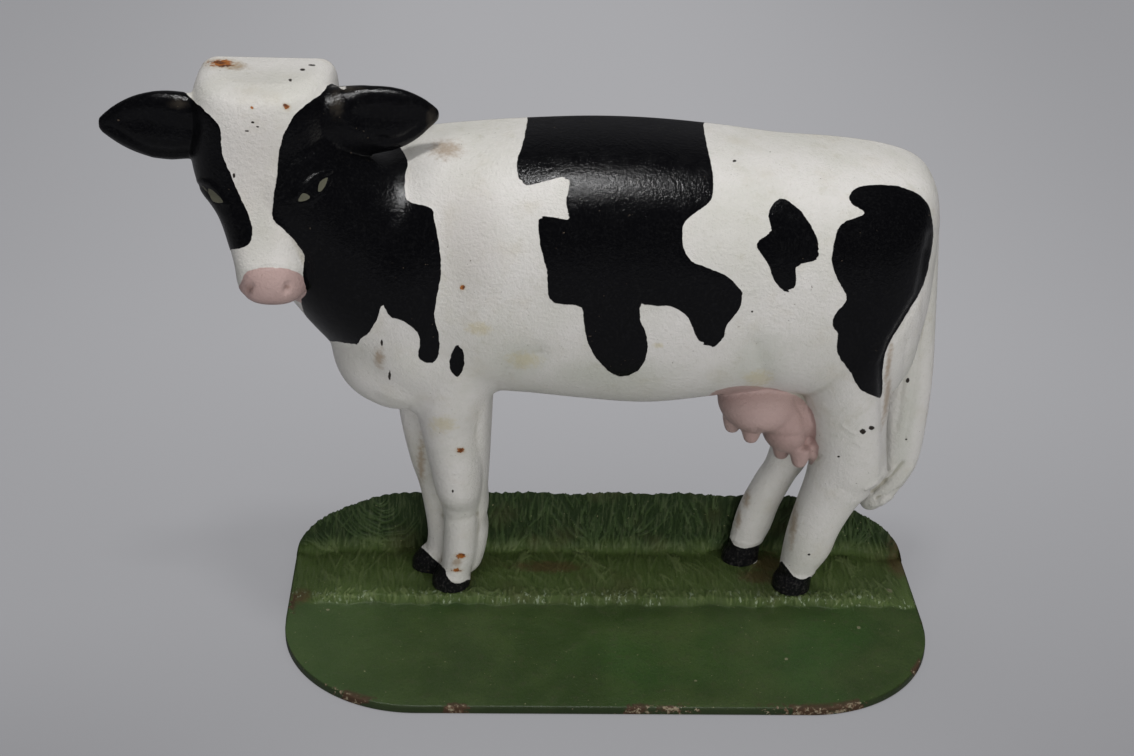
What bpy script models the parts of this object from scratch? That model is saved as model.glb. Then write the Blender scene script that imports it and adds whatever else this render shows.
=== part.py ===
"""Painted cast iron doorstop: a one-sided dairy cow on a green base with a bank of grass behind it.

Two sand castings make it. The base casting has a smooth apron in front, a raised ledge that the hooves
stand on, and an upright bank of grass along its back. The cow casting is a half-round figure, flat at
the back and hollow inside, whose legs are held by a countersunk screw through the base under each hoof.

Metres, +Z up. The viewer looks along +Y, and the cow walks towards -X. The origin is the middle of the
base's flat underside.
"""

import math

import bmesh
import bpy
from mathutils import Matrix, Vector

# Base casting
BASE_LENGTH = 0.222
BASE_DEPTH = 0.0925
PLATE_THICKNESS = 0.0032
FRONT_CORNER_RADIUS = 0.0465
REAR_CORNER_RADIUS = 0.007
RIM_ROUNDING = 0.0009
LEDGE_DEPTH = 0.032
LEDGE_RISE = 0.0023
LEDGE_SLOPE = 0.0022
LEDGE_END_MARGIN = 0.012
BANK_THICKNESS = 0.0045
BANK_HEIGHT = 0.0285
BANK_END_LENGTH = 0.048
BANK_END_FULLNESS = 0.62
BANK_END_LIP = 0.0006
BANK_LEAN = 0.0012
BANK_FOOT_REACH = 0.0036
BANK_FOOT_HEIGHT = 0.0045
HOOF_HOLLOW_MARGIN = 0.003
TUFT_PITCH = 0.0115
TUFT_TIP_RISE = 0.0009
BLADE_PITCH = 0.0042
BLADE_RELIEF = 0.0005

# How the figure seats on the base
SEAT_GAP = 0.0003
FIGURE_WALL = 0.005
CAST_GRAIN = 0.0013
FIGURE_TRIANGLES = 8800
HOLLOW_TRIANGLES = 1760

# Trunk: heights are above the ledge, depths are forward of the figure's flat back
CHEST_X = -0.066
RUMP_X = 0.105
BACK_HEIGHT = 0.168
BELLY_HEIGHT = 0.0715
TRUNK_DEPTH = 0.050
BRISKET_REACH = 0.0175
BRISKET_RISE = 0.0185
BRISKET_HALF_HEIGHT = 0.0205

# Neck and head
NECK_RADIUS = 0.036
HEAD_X = -0.1115
POLL_HEIGHT = 0.1850
MUZZLE_HEIGHT = 0.121
HEAD_HALF_WIDTH = 0.0228
MUZZLE_HALF_WIDTH = 0.0113
FOREHEAD_DEPTH = 0.038
MUZZLE_DEPTH = 0.0505
EAR_SPAN = 0.0305
EAR_HALF_HEIGHT = 0.0110
EAR_THICKNESS = 0.011
EAR_DEPTH = 0.018
EYE_HEIGHT = 0.1535
EYE_RADIUS = 0.0042
EYE_SPACING = 0.0320
EYE_SHIFT = -0.0018

# Legs: each hoof's middle, as its place along the ledge and its depth forward of the flat back
NEAR_FRONT_HOOF = (-0.0545, 0.0215)
FAR_FRONT_HOOF = (-0.0620, 0.0110)
NEAR_HIND_HOOF = (0.0670, 0.0215)
FAR_HIND_HOOF = (0.0505, 0.0050)
HOOF_HEIGHT = 0.0085
HOOF_TOP_LEAN = 0.0016
HOOF_HALF_LENGTH = 0.0068
NEAR_HOOF_HALF_WIDTH = 0.0072
FAR_HOOF_HALF_WIDTH = 0.0058
NEAR_FRONT_LEG_RADIUS = 0.0080
FAR_FRONT_LEG_RADIUS = 0.0072
NEAR_HIND_LEG_RADIUS = 0.0084
FAR_HIND_LEG_RADIUS = 0.0062
KNEE_HEIGHT = 0.038
ELBOW_HEIGHT = 0.082
HOCK_HEIGHT = 0.047
STIFLE_HEIGHT = 0.088

# Tail and udder
TAIL_X = 0.104
TAIL_TIP_HEIGHT = 0.019
TAIL_HALF_WIDTH = 0.0095
TAIL_DEPTH = 0.009
UDDER_X = 0.049
UDDER_HEIGHT = 0.0760
UDDER_HALF_LENGTH = 0.0140
UDDER_HALF_HEIGHT = 0.0105
UDDER_DEPTH = 0.021
REAR_UDDER_HALF_LENGTH = 0.0090
REAR_UDDER_HALF_HEIGHT = 0.0120
REAR_UDDER_DROP = 0.0070
TEAT_LENGTH = 0.0085
TEAT_RADIUS = 0.0034

# Hoof screws, M4 with a slotted countersunk head
SCREW_DIAMETER = 0.004
SCREW_HEAD_DIAMETER = 0.0078
SCREW_HEAD_HEIGHT = 0.0022
SCREW_LENGTH = 0.0125
SCREW_RECESS = 0.0003
SLOT_WIDTH = 0.0011
SLOT_DEPTH = 0.0009
HOLE_CLEARANCE = 0.0003
HOLE_END_CLEARANCE = 0.0008

# Roundness of the meshes
RING_POINTS = 28
ROUND_POINTS = 24
RINGS_PER_STAGE = 3
BASE_STATIONS = 112
BANK_ROWS = 5
FILLET_PASSES = 5
CUT_MARGIN = 0.02

LEDGE_TOP = PLATE_THICKNESS + LEDGE_RISE
BANK_FRONT = BASE_DEPTH / 2 - BANK_THICKNESS
FIGURE_BACK = BANK_FRONT - SEAT_GAP
FIGURE_FOOT = LEDGE_TOP + SEAT_GAP


def clear_scene():
    for obj in list(bpy.data.objects):
        bpy.data.objects.remove(obj, do_unlink=True)


def paint(name, colour, roughness, metallic=0.0):
    material = bpy.data.materials.new(name)
    material.use_nodes = True
    shader = material.node_tree.nodes["Principled BSDF"]
    shader.inputs["Base Color"].default_value = (*colour, 1)
    shader.inputs["Roughness"].default_value = roughness
    shader.inputs["Metallic"].default_value = metallic
    material.diffuse_color = (*colour, 1)
    return material


def add_object(name, mesh, material=None):
    obj = bpy.data.objects.new(name, mesh)
    bpy.context.scene.collection.objects.link(obj)
    if material:
        mesh.materials.append(material)
    return obj


def loft(mesh, rings):
    """Adds one closed skin through rings of points, each ring with as many points as the next."""
    rows = [[mesh.verts.new(point) for point in ring] for ring in rings]
    count = len(rows[0])
    faces = []
    for low, high in zip(rows, rows[1:]):
        for i in range(count):
            j = (i + 1) % count
            faces.append(mesh.faces.new((low[i], low[j], high[j], high[i])))
    faces.append(mesh.faces.new(rows[0][::-1]))
    faces.append(mesh.faces.new(rows[-1]))
    bmesh.ops.recalc_face_normals(mesh, faces=faces)


def eased(stages):
    """The stages of a loft with more between them, on a smooth curve through each of their columns."""
    last = len(stages) - 1
    smooth = []
    for i in range(last):
        around = (stages[max(i - 1, 0)], stages[i], stages[i + 1], stages[min(i + 2, last)])
        for step in range(RINGS_PER_STAGE):
            t = step / RINGS_PER_STAGE
            stage = []
            for a, b, c, d in zip(*around):
                bend = t**2 * (2 * a - 5 * b + 4 * c - d) + t**3 * (3 * b - 3 * c + d - a)
                stage.append(b + (t * (c - a) + bend) / 2)
            smooth.append(stage)
    smooth.append(stages[-1])
    return smooth


def mesh_of(name, build):
    shape = bmesh.new()
    build(shape)
    mesh = bpy.data.meshes.new(name)
    shape.to_mesh(mesh)
    shape.free()
    return mesh


def cutter(name, build):
    """A helper that a Boolean takes away from a casting. It isn't a part of the object."""
    obj = add_object(name, mesh_of(name, build))
    obj.hide_render = True
    obj.display_type = "WIRE"
    return obj


def cut(obj, tool):
    modifier = obj.modifiers.new(tool.name, "BOOLEAN")
    modifier.operation = "DIFFERENCE"
    modifier.solver = "EXACT"
    modifier.object = tool


def box_builder(low, high):
    def build(mesh):
        middle = (Vector(low) + Vector(high)) / 2
        size = Vector(high) - Vector(low)
        place = Matrix.Translation(middle) @ Matrix.Diagonal((*size, 1))
        bmesh.ops.create_cube(mesh, size=1, matrix=place)
    return build


def turned_builder(profile, centre):
    """A solid turned about the vertical through centre, from (radius, height) points in order of height."""
    def build(mesh):
        rings = []
        for radius, height in profile:
            ring = []
            for i in range(ROUND_POINTS):
                turn = 2 * math.pi * i / ROUND_POINTS
                x = centre[0] + radius * math.cos(turn)
                y = centre[1] + radius * math.sin(turn)
                ring.append((x, y, height))
            rings.append(ring)
        loft(mesh, rings)
    return build


# Base casting

def front_edge(x):
    """Y of the plate's front edge: straight, with a quarter circle at each end."""
    past = abs(x) - (BASE_LENGTH / 2 - FRONT_CORNER_RADIUS)
    if past <= 0:
        return -BASE_DEPTH / 2
    fall = FRONT_CORNER_RADIUS - math.sqrt(max(FRONT_CORNER_RADIUS**2 - past**2, 0))
    return -BASE_DEPTH / 2 + fall


def rear_edge(x):
    """Y of the plate's rear edge, which is straight too, with smaller corners."""
    past = abs(x) - (BASE_LENGTH / 2 - REAR_CORNER_RADIUS)
    if past <= 0:
        return BASE_DEPTH / 2
    fall = REAR_CORNER_RADIUS - math.sqrt(max(REAR_CORNER_RADIUS**2 - past**2, 0))
    return BASE_DEPTH / 2 - fall


def bank_top(x):
    """Height of the grass bank: level, with tufts along its edge, and rounded down at each end."""
    past = max(abs(x) - (BASE_LENGTH / 2 - BANK_END_LENGTH), 0) / BANK_END_LENGTH
    full = (1 - min(past, 1) ** 2) ** BANK_END_FULLNESS
    tuft = TUFT_TIP_RISE * math.sin(math.pi * x / TUFT_PITCH) ** 2
    low = PLATE_THICKNESS + BANK_END_LIP
    return low + (BANK_HEIGHT - low + tuft) * full


def ledge_rise(x):
    """The ledge fades into the plate near its two ends."""
    room = (BASE_LENGTH / 2 - LEDGE_END_MARGIN - abs(x)) / LEDGE_SLOPE
    return LEDGE_RISE * min(max(room, 0), 1)


def clear_of_hooves(x):
    """0 where a far hoof stands against the bank, whose foot is hollowed for it, and 1 away from both."""
    share = 1.0
    for hoof_x, _ in (FAR_FRONT_HOOF, FAR_HIND_HOOF):
        past = (abs(x - hoof_x) - HOOF_HALF_LENGTH - HOOF_HOLLOW_MARGIN) / HOOF_HOLLOW_MARGIN
        share = min(share, max(past, 0))
    return share


def base_section(x):
    """The base casting cut across at x, as a closed outline that starts at the underside's rear corner."""
    front = front_edge(x)
    rear = rear_edge(x)
    rise = ledge_rise(x)
    top = bank_top(x)
    ledge = PLATE_THICKNESS + rise
    step = max(BANK_FRONT - LEDGE_DEPTH, front + 4 * RIM_ROUNDING)
    face = min(BANK_FRONT, rear - RIM_ROUNDING)
    foot = min(ledge, top - BANK_END_LIP)
    heap = min(BANK_FOOT_HEIGHT, (top - foot) / 3)
    reach = max(BANK_FOOT_REACH * heap / BANK_FOOT_HEIGHT * clear_of_hooves(x), SEAT_GAP / 3)
    lean = BANK_LEAN * (top - foot) / (BANK_HEIGHT - foot)
    points = [
        (rear - RIM_ROUNDING / 2, 0),
        (front + RIM_ROUNDING, 0),
        (front, RIM_ROUNDING),
        (front, PLATE_THICKNESS - RIM_ROUNDING),
        (front + RIM_ROUNDING, PLATE_THICKNESS),
        ((front + step) / 2, PLATE_THICKNESS),
        (step, PLATE_THICKNESS),
        (step + LEDGE_SLOPE / 2, PLATE_THICKNESS + 0.7 * rise),
        (step + LEDGE_SLOPE, ledge),
        ((step + face) / 2, ledge),
        (face - reach, foot),
        (face - 0.4 * reach, foot + 0.3 * heap),
        (face, foot + heap),
    ]
    has_blades = 1 if top > ledge + LEDGE_RISE else 0
    for row in range(1, BANK_ROWS + 1):
        up = row / BANK_ROWS
        blade = math.sin(math.pi * (x / BLADE_PITCH + 0.9 * math.sin(up + x / TUFT_PITCH))) ** 2
        relief = has_blades * BLADE_RELIEF * blade * math.sin(math.pi * up)
        points.append((face + lean * up - relief, foot + heap + (top - foot - heap) * up))
    points.append((rear - RIM_ROUNDING / 2, top))
    points.append((rear, top - min(RIM_ROUNDING, (top - RIM_ROUNDING) / 2)))
    points.append((rear, RIM_ROUNDING / 2))
    return [(x, y, z) for y, z in points]


def hoof_places():
    """Name, place along X and place along Y of each hoof's middle."""
    hooves = {
        "near_front": NEAR_FRONT_HOOF,
        "far_front": FAR_FRONT_HOOF,
        "near_hind": NEAR_HIND_HOOF,
        "far_hind": FAR_HIND_HOOF,
    }
    return {name: (x, FIGURE_BACK - depth) for name, (x, depth) in hooves.items()}


def make_base(material):
    def build(mesh):
        """Sections stand closer together towards the rounded ends."""
        sections = []
        for i in range(BASE_STATIONS + 1):
            even = 2 * i / BASE_STATIONS - 1
            crowded = -math.cos(math.pi * i / BASE_STATIONS)
            sections.append(base_section(BASE_LENGTH / 2 * (0.65 * even + 0.35 * crowded)))
        loft(mesh, sections)

    base = add_object("base_casting", mesh_of("base_casting", build), material)
    radius = SCREW_DIAMETER / 2 + HOLE_CLEARANCE
    head = SCREW_HEAD_DIAMETER / 2 + HOLE_CLEARANCE
    sink = SCREW_HEAD_HEIGHT + SCREW_RECESS
    for name, centre in hoof_places().items():
        profile = [
            (radius, LEDGE_TOP + CUT_MARGIN),
            (radius, sink),
            (head, SCREW_RECESS),
            (head, -CUT_MARGIN),
        ]
        cut(base, cutter(f"cut_base_{name}", turned_builder(profile[::-1], centre)))
    return base


# Cow casting

def at(x, depth, height):
    """A point of the figure, from its depth forward of the flat back and its height above the ledge."""
    return Vector((x, FIGURE_BACK - depth, FIGURE_FOOT + height))


def superellipse(turn, power):
    """A point of a unit ring that is rounder at power 1 and squarer below it."""
    c, s = math.cos(turn), math.sin(turn)
    return math.copysign(abs(c) ** power, c), math.copysign(abs(s) ** power, s)


def upright_ring(x, top, bottom, depth, power=0.85):
    """A ring across the trunk, centred on the flat back, so that half of it shows."""
    middle = (top + bottom) / 2
    half = (top - bottom) / 2
    ring = []
    for i in range(RING_POINTS):
        c, s = superellipse(2 * math.pi * i / RING_POINTS, power)
        ring.append(at(x, depth * c, middle + half * s))
    return ring


def level_ring(x, depth, height, half_length, half_width, power=1.0, lean=0.0):
    """A level ring round a limb. Lean tips its -X edge down, as the top of a hoof does."""
    ring = []
    for i in range(RING_POINTS):
        c, s = superellipse(2 * math.pi * i / RING_POINTS, power)
        ring.append(at(x + half_length * c, depth + half_width * s, height + lean * c))
    return ring


def tube_ring(centre, along, side_radius, rise_radius):
    """A ring square to the direction along, for the neck and the ears."""
    along = Vector(along).normalized()
    side = Vector((0, 1, 0))
    side = (side - along * side.dot(along)).normalized()
    rise = along.cross(side)
    ring = []
    for i in range(RING_POINTS):
        turn = 2 * math.pi * i / RING_POINTS
        ring.append(at(*centre) + side * side_radius * math.cos(turn) + rise * rise_radius * math.sin(turn))
    return ring


def trunk_rings(inset=0.0):
    """Barrel from chest to rump. Each stage: place along, fall of back and belly, and depth, as shares."""
    length = RUMP_X - CHEST_X
    tall = BACK_HEIGHT - BELLY_HEIGHT
    stages = [
        (-0.075, 0.13, 0.78, 0.45),
        (0.00, 0.055, 0.945, 0.80),
        (0.09, 0.030, 0.985, 0.92),
        (0.20, 0.012, 0.970, 0.97),
        (0.33, 0.0, 0.990, 1.0),
        (0.45, 0.004, 1.0, 1.0),
        (0.57, 0.022, 0.985, 0.98),
        (0.68, 0.045, 0.965, 0.95),
        (0.79, 0.055, 1.0, 0.93),
        (0.88, 0.075, 1.02, 0.86),
        (0.945, 0.11, 0.97, 0.70),
        (0.98, 0.165, 0.84, 0.48),
        (1.00, 0.24, 0.66, 0.22),
    ]
    rings = []
    first = CHEST_X + length * stages[0][0]
    for along, fall, down, deep in eased(stages):
        x = CHEST_X + length * along
        top = BACK_HEIGHT - tall * fall - inset
        bottom = BACK_HEIGHT - tall * down + inset
        depth = TRUNK_DEPTH * deep - inset
        if first + inset <= x <= RUMP_X - inset and depth > 0 and top > bottom:
            rings.append(upright_ring(x, top, bottom, depth))
    return rings


def neck_rings(inset=0.0):
    """Neck from inside the shoulder to the back of the head, which is turned towards the viewer.

    Each stage: shares of the neck's reach and of the head's height, slope, then depth and two radii as
    shares of the neck's radius.
    """
    tall = POLL_HEIGHT - MUZZLE_HEIGHT
    reach = CHEST_X - HEAD_X
    stages = [
        (-0.50, 0.00, 0.10, 0.22, 1.00, 1.19),
        (-0.02, 0.01, 0.20, 0.28, 1.00, 1.24),
        (0.30, 0.08, 0.50, 0.36, 0.86, 0.97),
        (0.60, 0.26, 0.90, 0.44, 0.75, 0.76),
        (0.85, 0.46, 1.60, 0.50, 0.67, 0.64),
        (0.95, 0.68, 3.00, 0.50, 0.56, 0.53),
    ]
    rings = []
    for out, up, slope, deep, side, rise in eased(stages):
        centre = (CHEST_X - reach * out, NECK_RADIUS * deep, MUZZLE_HEIGHT + tall * up)
        radii = (NECK_RADIUS * side - inset, NECK_RADIUS * rise - inset)
        rings.append(tube_ring(centre, (-1, 0, slope), *radii))
    return rings


def add_brisket(mesh):
    """The breast bulges forwards and down in front of the forelegs."""
    centre = (CHEST_X - BRISKET_REACH / 3, 0.28 * TRUNK_DEPTH, BELLY_HEIGHT + BRISKET_RISE)
    ball(mesh, centre, BRISKET_REACH, 0.48 * TRUNK_DEPTH, BRISKET_HALF_HEIGHT)


def head_rings(inset=0.0):
    """Head from the flat poll down to the muzzle.

    Each stage: height and sideways shift as shares, half width, and how far back and forward it reaches.
    """
    tall = POLL_HEIGHT - MUZZLE_HEIGHT
    wide, narrow = HEAD_HALF_WIDTH, MUZZLE_HALF_WIDTH
    brow, nose = FOREHEAD_DEPTH, MUZZLE_DEPTH
    stages = [
        (1.00, -0.057, 0.76 * wide, -0.60 * brow, 0.66 * brow),
        (0.96, -0.070, 0.91 * wide, -0.70 * brow, 0.87 * brow),
        (0.86, -0.083, 0.99 * wide, -0.60 * brow, 0.95 * brow),
        (0.67, -0.088, 1.02 * wide, -0.50 * brow, 1.00 * brow),
        (0.51, -0.092, 0.92 * wide, -0.25 * brow, 1.06 * brow),
        (0.38, -0.044, 0.68 * wide, -0.05 * brow, 0.87 * nose),
        (0.26, 0.000, 0.56 * wide, 0.15 * nose, 0.94 * nose),
        (0.16, 0.053, 1.04 * narrow, 0.27 * nose, 1.00 * nose),
        (0.06, 0.075, 1.00 * narrow, 0.35 * nose, 1.00 * nose),
        (0.00, 0.075, 0.75 * narrow, 0.46 * nose, 0.92 * nose),
    ]
    rings = []
    for up, shift, half, behind, ahead in eased(stages):
        height = MUZZLE_HEIGHT + tall * up
        if inset:
            if up < 0.5:
                continue
            height = min(height, POLL_HEIGHT - inset)
        middle = (behind + ahead - inset) / 2
        deep = (ahead - inset - behind) / 2
        rings.append(level_ring(HEAD_X + shift * wide, middle, height, half - inset, deep, power=0.8))
    return rings[::-1]


def ear_rings(side):
    """A leaf-shaped ear that points away from the head. Side is -1 or 1, and the one at +X is lifted."""
    middle = POLL_HEIGHT - 0.255 * (POLL_HEIGHT - MUZZLE_HEIGHT)
    raised, lift = (0.06 * EAR_SPAN, 0.11 * EAR_SPAN) if side > 0 else (0, 0)
    stages = [
        (-0.30, 0.80, 1.0),
        (0.00, 0.93, 1.0),
        (0.35, 1.00, 0.92),
        (0.62, 0.84, 0.75),
        (0.84, 0.52, 0.50),
        (1.00, 0.14, 0.20),
    ]
    rings = []
    for out, high, thick in eased(stages):
        x = HEAD_X + side * (0.97 * HEAD_HALF_WIDTH + EAR_SPAN * out)
        centre = (x, EAR_DEPTH, middle + raised + lift * out)
        rings.append(tube_ring(centre, (side, 0, 0), EAR_THICKNESS / 2 * thick, EAR_HALF_HEIGHT * high))
    return rings


def ball(mesh, centre, half_length, half_depth, half_height):
    place = Matrix.Translation(at(*centre)) @ Matrix.Diagonal((half_length, half_depth, half_height, 1))
    bmesh.ops.create_uvsphere(mesh, u_segments=20, v_segments=12, radius=1, matrix=place)


def hoof_rings(hoof, half_width):
    """A short wedge of a hoof that widens downwards and points forwards, to -X. It runs past the ledge."""
    x, depth = hoof
    toe = 0.12 * HOOF_HALF_LENGTH
    stages = [
        (0, -CUT_MARGIN / 4, 1.0, 0),
        (0, 0.25 * HOOF_HEIGHT, 1.0, 0),
        (toe, 0.70 * HOOF_HEIGHT, 0.90, 0.75 * HOOF_TOP_LEAN),
        (2 * toe, HOOF_HEIGHT, 0.72, HOOF_TOP_LEAN),
    ]
    return [
        level_ring(x + shift, depth, height, share * HOOF_HALF_LENGTH, share * half_width, lean=lean)
        for shift, height, share, lean in stages
    ]


def leg_rings(hoof, radius, stages):
    """A leg from its hoof up.

    Each stage: height, then the shift back and the shift forward from the hoof, the half length and the half
    width, as shares of the leg's radius.
    """
    x, depth = hoof
    rings = []
    for height, back, forward, long, wide in eased(stages):
        centre = (x + radius * back, depth + radius * forward, height)
        rings.append(level_ring(*centre, radius * long, radius * wide))
    return rings


def near_front_stages():
    cannon = KNEE_HEIGHT - HOOF_HEIGHT
    forearm = ELBOW_HEIGHT - KNEE_HEIGHT
    return [
        (0.55 * HOOF_HEIGHT, 0.19, -0.06, 0.65, 0.75),
        (HOOF_HEIGHT + 0.15 * cannon, 0.38, -0.12, 0.85, 0.90),
        (HOOF_HEIGHT + 0.45 * cannon, 0.50, -0.12, 0.95, 0.94),
        (HOOF_HEIGHT + 0.80 * cannon, 0.50, -0.06, 1.00, 1.02),
        (KNEE_HEIGHT + 0.06 * forearm, 0.45, 0.06, 1.19, 1.28),
        (KNEE_HEIGHT + 0.30 * forearm, 0.32, 0.12, 1.35, 1.44),
        (KNEE_HEIGHT + 0.65 * forearm, 0.15, 0.12, 1.52, 1.62),
        (ELBOW_HEIGHT, 0.08, -0.06, 1.81, 2.00),
        (ELBOW_HEIGHT + 0.60 * forearm, 0.12, -0.75, 2.50, 2.88),
        (ELBOW_HEIGHT + 1.10 * forearm, 0.12, -1.88, 2.00, 2.50),
    ]


def far_front_stages():
    cannon = KNEE_HEIGHT - HOOF_HEIGHT
    forearm = ELBOW_HEIGHT - KNEE_HEIGHT
    return [
        (0.55 * HOOF_HEIGHT, 0.42, -0.14, 0.72, 0.72),
        (HOOF_HEIGHT + 0.20 * cannon, 0.67, -0.21, 0.83, 0.83),
        (HOOF_HEIGHT + 0.80 * cannon, 0.47, -0.28, 1.00, 0.92),
        (KNEE_HEIGHT + 0.12 * forearm, 0.17, -0.28, 1.14, 1.04),
        (KNEE_HEIGHT + 0.45 * forearm, -0.14, -0.28, 1.25, 1.18),
        (KNEE_HEIGHT + 0.80 * forearm, -0.25, -0.42, 1.39, 1.39),
        (ELBOW_HEIGHT + 0.40 * forearm, 0.42, -0.56, 1.94, 1.67),
    ]


def near_hind_stages():
    cannon = HOCK_HEIGHT - HOOF_HEIGHT
    thigh = STIFLE_HEIGHT - HOCK_HEIGHT
    return [
        (0.55 * HOOF_HEIGHT, 0.12, -0.12, 0.69, 0.74),
        (HOOF_HEIGHT + 0.15 * cannon, 0.31, -0.12, 0.95, 0.93),
        (HOOF_HEIGHT + 0.40 * cannon, 0.45, -0.10, 1.00, 0.95),
        (HOOF_HEIGHT + 0.70 * cannon, 0.83, -0.06, 1.10, 1.00),
        (HOCK_HEIGHT - 0.04 * cannon, 1.37, 0.00, 1.43, 1.19),
        (HOCK_HEIGHT + 0.22 * thigh, 1.55, 0.10, 1.40, 1.40),
        (HOCK_HEIGHT + 0.60 * thigh, 1.33, 0.14, 1.61, 1.79),
        (STIFLE_HEIGHT, 1.19, 0.12, 1.90, 2.26),
        (STIFLE_HEIGHT + 0.50 * thigh, 1.07, -0.12, 2.44, 2.92),
        (STIFLE_HEIGHT + 1.10 * thigh, 1.07, -0.71, 2.80, 2.98),
        (STIFLE_HEIGHT + 1.60 * thigh, 0.95, -1.55, 2.38, 2.38),
    ]


def far_hind_stages():
    cannon = HOCK_HEIGHT - HOOF_HEIGHT
    thigh = STIFLE_HEIGHT - HOCK_HEIGHT
    return [
        (0.55 * HOOF_HEIGHT, 0.13, 0.00, 0.89, 0.74),
        (HOOF_HEIGHT + 0.15 * cannon, 0.29, 0.00, 1.06, 0.90),
        (HOOF_HEIGHT + 0.40 * cannon, 0.45, 0.00, 1.00, 0.94),
        (HOOF_HEIGHT + 0.70 * cannon, 1.00, 0.08, 1.06, 0.97),
        (HOCK_HEIGHT - 0.10 * cannon, 1.61, 0.16, 1.13, 1.06),
        (HOCK_HEIGHT + 0.25 * thigh, 2.18, 0.16, 1.37, 1.29),
        (HOCK_HEIGHT + 0.65 * thigh, 2.82, 0.16, 1.77, 1.61),
        (STIFLE_HEIGHT + 0.20 * thigh, 3.23, 0.00, 2.26, 1.94),
    ]


def tail_rings():
    """The tail hangs from the rump against the flat back, and ends in a brush.

    Each stage: height, sideways shift, half width and depth, as shares.
    """
    drop = BACK_HEIGHT - TAIL_TIP_HEIGHT
    stages = [
        (0.86, -0.79, 0.40, 0.9),
        (0.80, -0.21, 0.46, 0.9),
        (0.74, -0.08, 0.46, 0.9),
        (0.64, 0.00, 0.55, 0.9),
        (0.51, 0.00, 0.75, 0.9),
        (0.38, -0.05, 0.98, 0.95),
        (0.24, -0.05, 1.00, 1.0),
        (0.14, -0.23, 0.88, 0.95),
        (0.06, -0.53, 0.70, 0.75),
        (0.015, -0.72, 0.42, 0.45),
        (0.00, -0.76, 0.15, 0.2),
    ]
    rings = []
    for up, shift, wide, deep in eased(stages):
        x = TAIL_X + TAIL_HALF_WIDTH * shift
        height = TAIL_TIP_HEIGHT + drop * up
        rings.append(level_ring(x, 0, height, TAIL_HALF_WIDTH * wide, TAIL_DEPTH * deep))
    return rings


def add_udder(mesh):
    """Two rounded quarters, the rear one lower, each with a teat on either side."""
    front = (UDDER_X, UDDER_DEPTH, UDDER_HEIGHT)
    rear = (UDDER_X + 0.70 * UDDER_HALF_LENGTH, UDDER_DEPTH, UDDER_HEIGHT - REAR_UDDER_DROP)
    ball(mesh, front, UDDER_HALF_LENGTH, 0.75 * UDDER_DEPTH, UDDER_HALF_HEIGHT)
    ball(mesh, rear, REAR_UDDER_HALF_LENGTH, 0.62 * UDDER_DEPTH, REAR_UDDER_HALF_HEIGHT)
    teats = [
        (front, UDDER_HALF_LENGTH, -0.56, 0.90, UDDER_HALF_HEIGHT, 0.57),
        (front, UDDER_HALF_LENGTH, -0.18, 1.30, UDDER_HALF_HEIGHT, 0.48),
        (rear, REAR_UDDER_HALF_LENGTH, 0.02, 0.90, REAR_UDDER_HALF_HEIGHT, 0.78),
        (rear, REAR_UDDER_HALF_LENGTH, 0.56, 1.30, REAR_UDDER_HALF_HEIGHT, 0.63),
    ]
    for quarter, half_length, along, deep, half_height, down in teats:
        x = quarter[0] + half_length * along
        depth = UDDER_DEPTH * deep
        height = quarter[2] - half_height * down
        loft(mesh, [
            level_ring(x, depth, height, 1.15 * TEAT_RADIUS, 1.15 * TEAT_RADIUS),
            level_ring(x, depth, height - 0.5 * TEAT_LENGTH, TEAT_RADIUS, TEAT_RADIUS),
            level_ring(x, depth, height - 0.9 * TEAT_LENGTH, 0.7 * TEAT_RADIUS, 0.7 * TEAT_RADIUS),
            level_ring(x, depth, height - TEAT_LENGTH, 0.3 * TEAT_RADIUS, 0.3 * TEAT_RADIUS),
        ])


def add_eyes(mesh):
    for side in (-1, 1):
        centre = (HEAD_X + EYE_SHIFT + side * EYE_SPACING / 2, 0.76 * FOREHEAD_DEPTH, EYE_HEIGHT)
        ball(mesh, centre, 0.8 * EYE_RADIUS, EYE_RADIUS, 0.75 * EYE_RADIUS)


def figure_shells(mesh):
    """Every form of the cow as its own closed skin. The remesh below makes them one."""
    loft(mesh, trunk_rings())
    loft(mesh, neck_rings())
    add_brisket(mesh)
    loft(mesh, head_rings())
    for side in (-1, 1):
        loft(mesh, ear_rings(side))
    for hoof, half_width, radius, stages in (
        (NEAR_FRONT_HOOF, NEAR_HOOF_HALF_WIDTH, NEAR_FRONT_LEG_RADIUS, near_front_stages()),
        (FAR_FRONT_HOOF, FAR_HOOF_HALF_WIDTH, FAR_FRONT_LEG_RADIUS, far_front_stages()),
        (NEAR_HIND_HOOF, NEAR_HOOF_HALF_WIDTH, NEAR_HIND_LEG_RADIUS, near_hind_stages()),
        (FAR_HIND_HOOF, FAR_HOOF_HALF_WIDTH, FAR_HIND_LEG_RADIUS, far_hind_stages()),
    ):
        loft(mesh, hoof_rings(hoof, half_width))
        loft(mesh, leg_rings(hoof, radius, stages))
    loft(mesh, tail_rings())
    add_udder(mesh)
    add_eyes(mesh)


def hollow_shells(mesh):
    """What the core of the mould leaves open: the trunk, neck and head, a wall's thickness smaller."""
    loft(mesh, trunk_rings(FIGURE_WALL))
    loft(mesh, neck_rings(FIGURE_WALL))
    loft(mesh, head_rings(FIGURE_WALL))


def apply_modifiers(obj):
    graph = bpy.context.evaluated_depsgraph_get()
    mesh = bpy.data.meshes.new_from_object(obj.evaluated_get(graph))
    obj.modifiers.clear()
    obj.data = mesh


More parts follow.
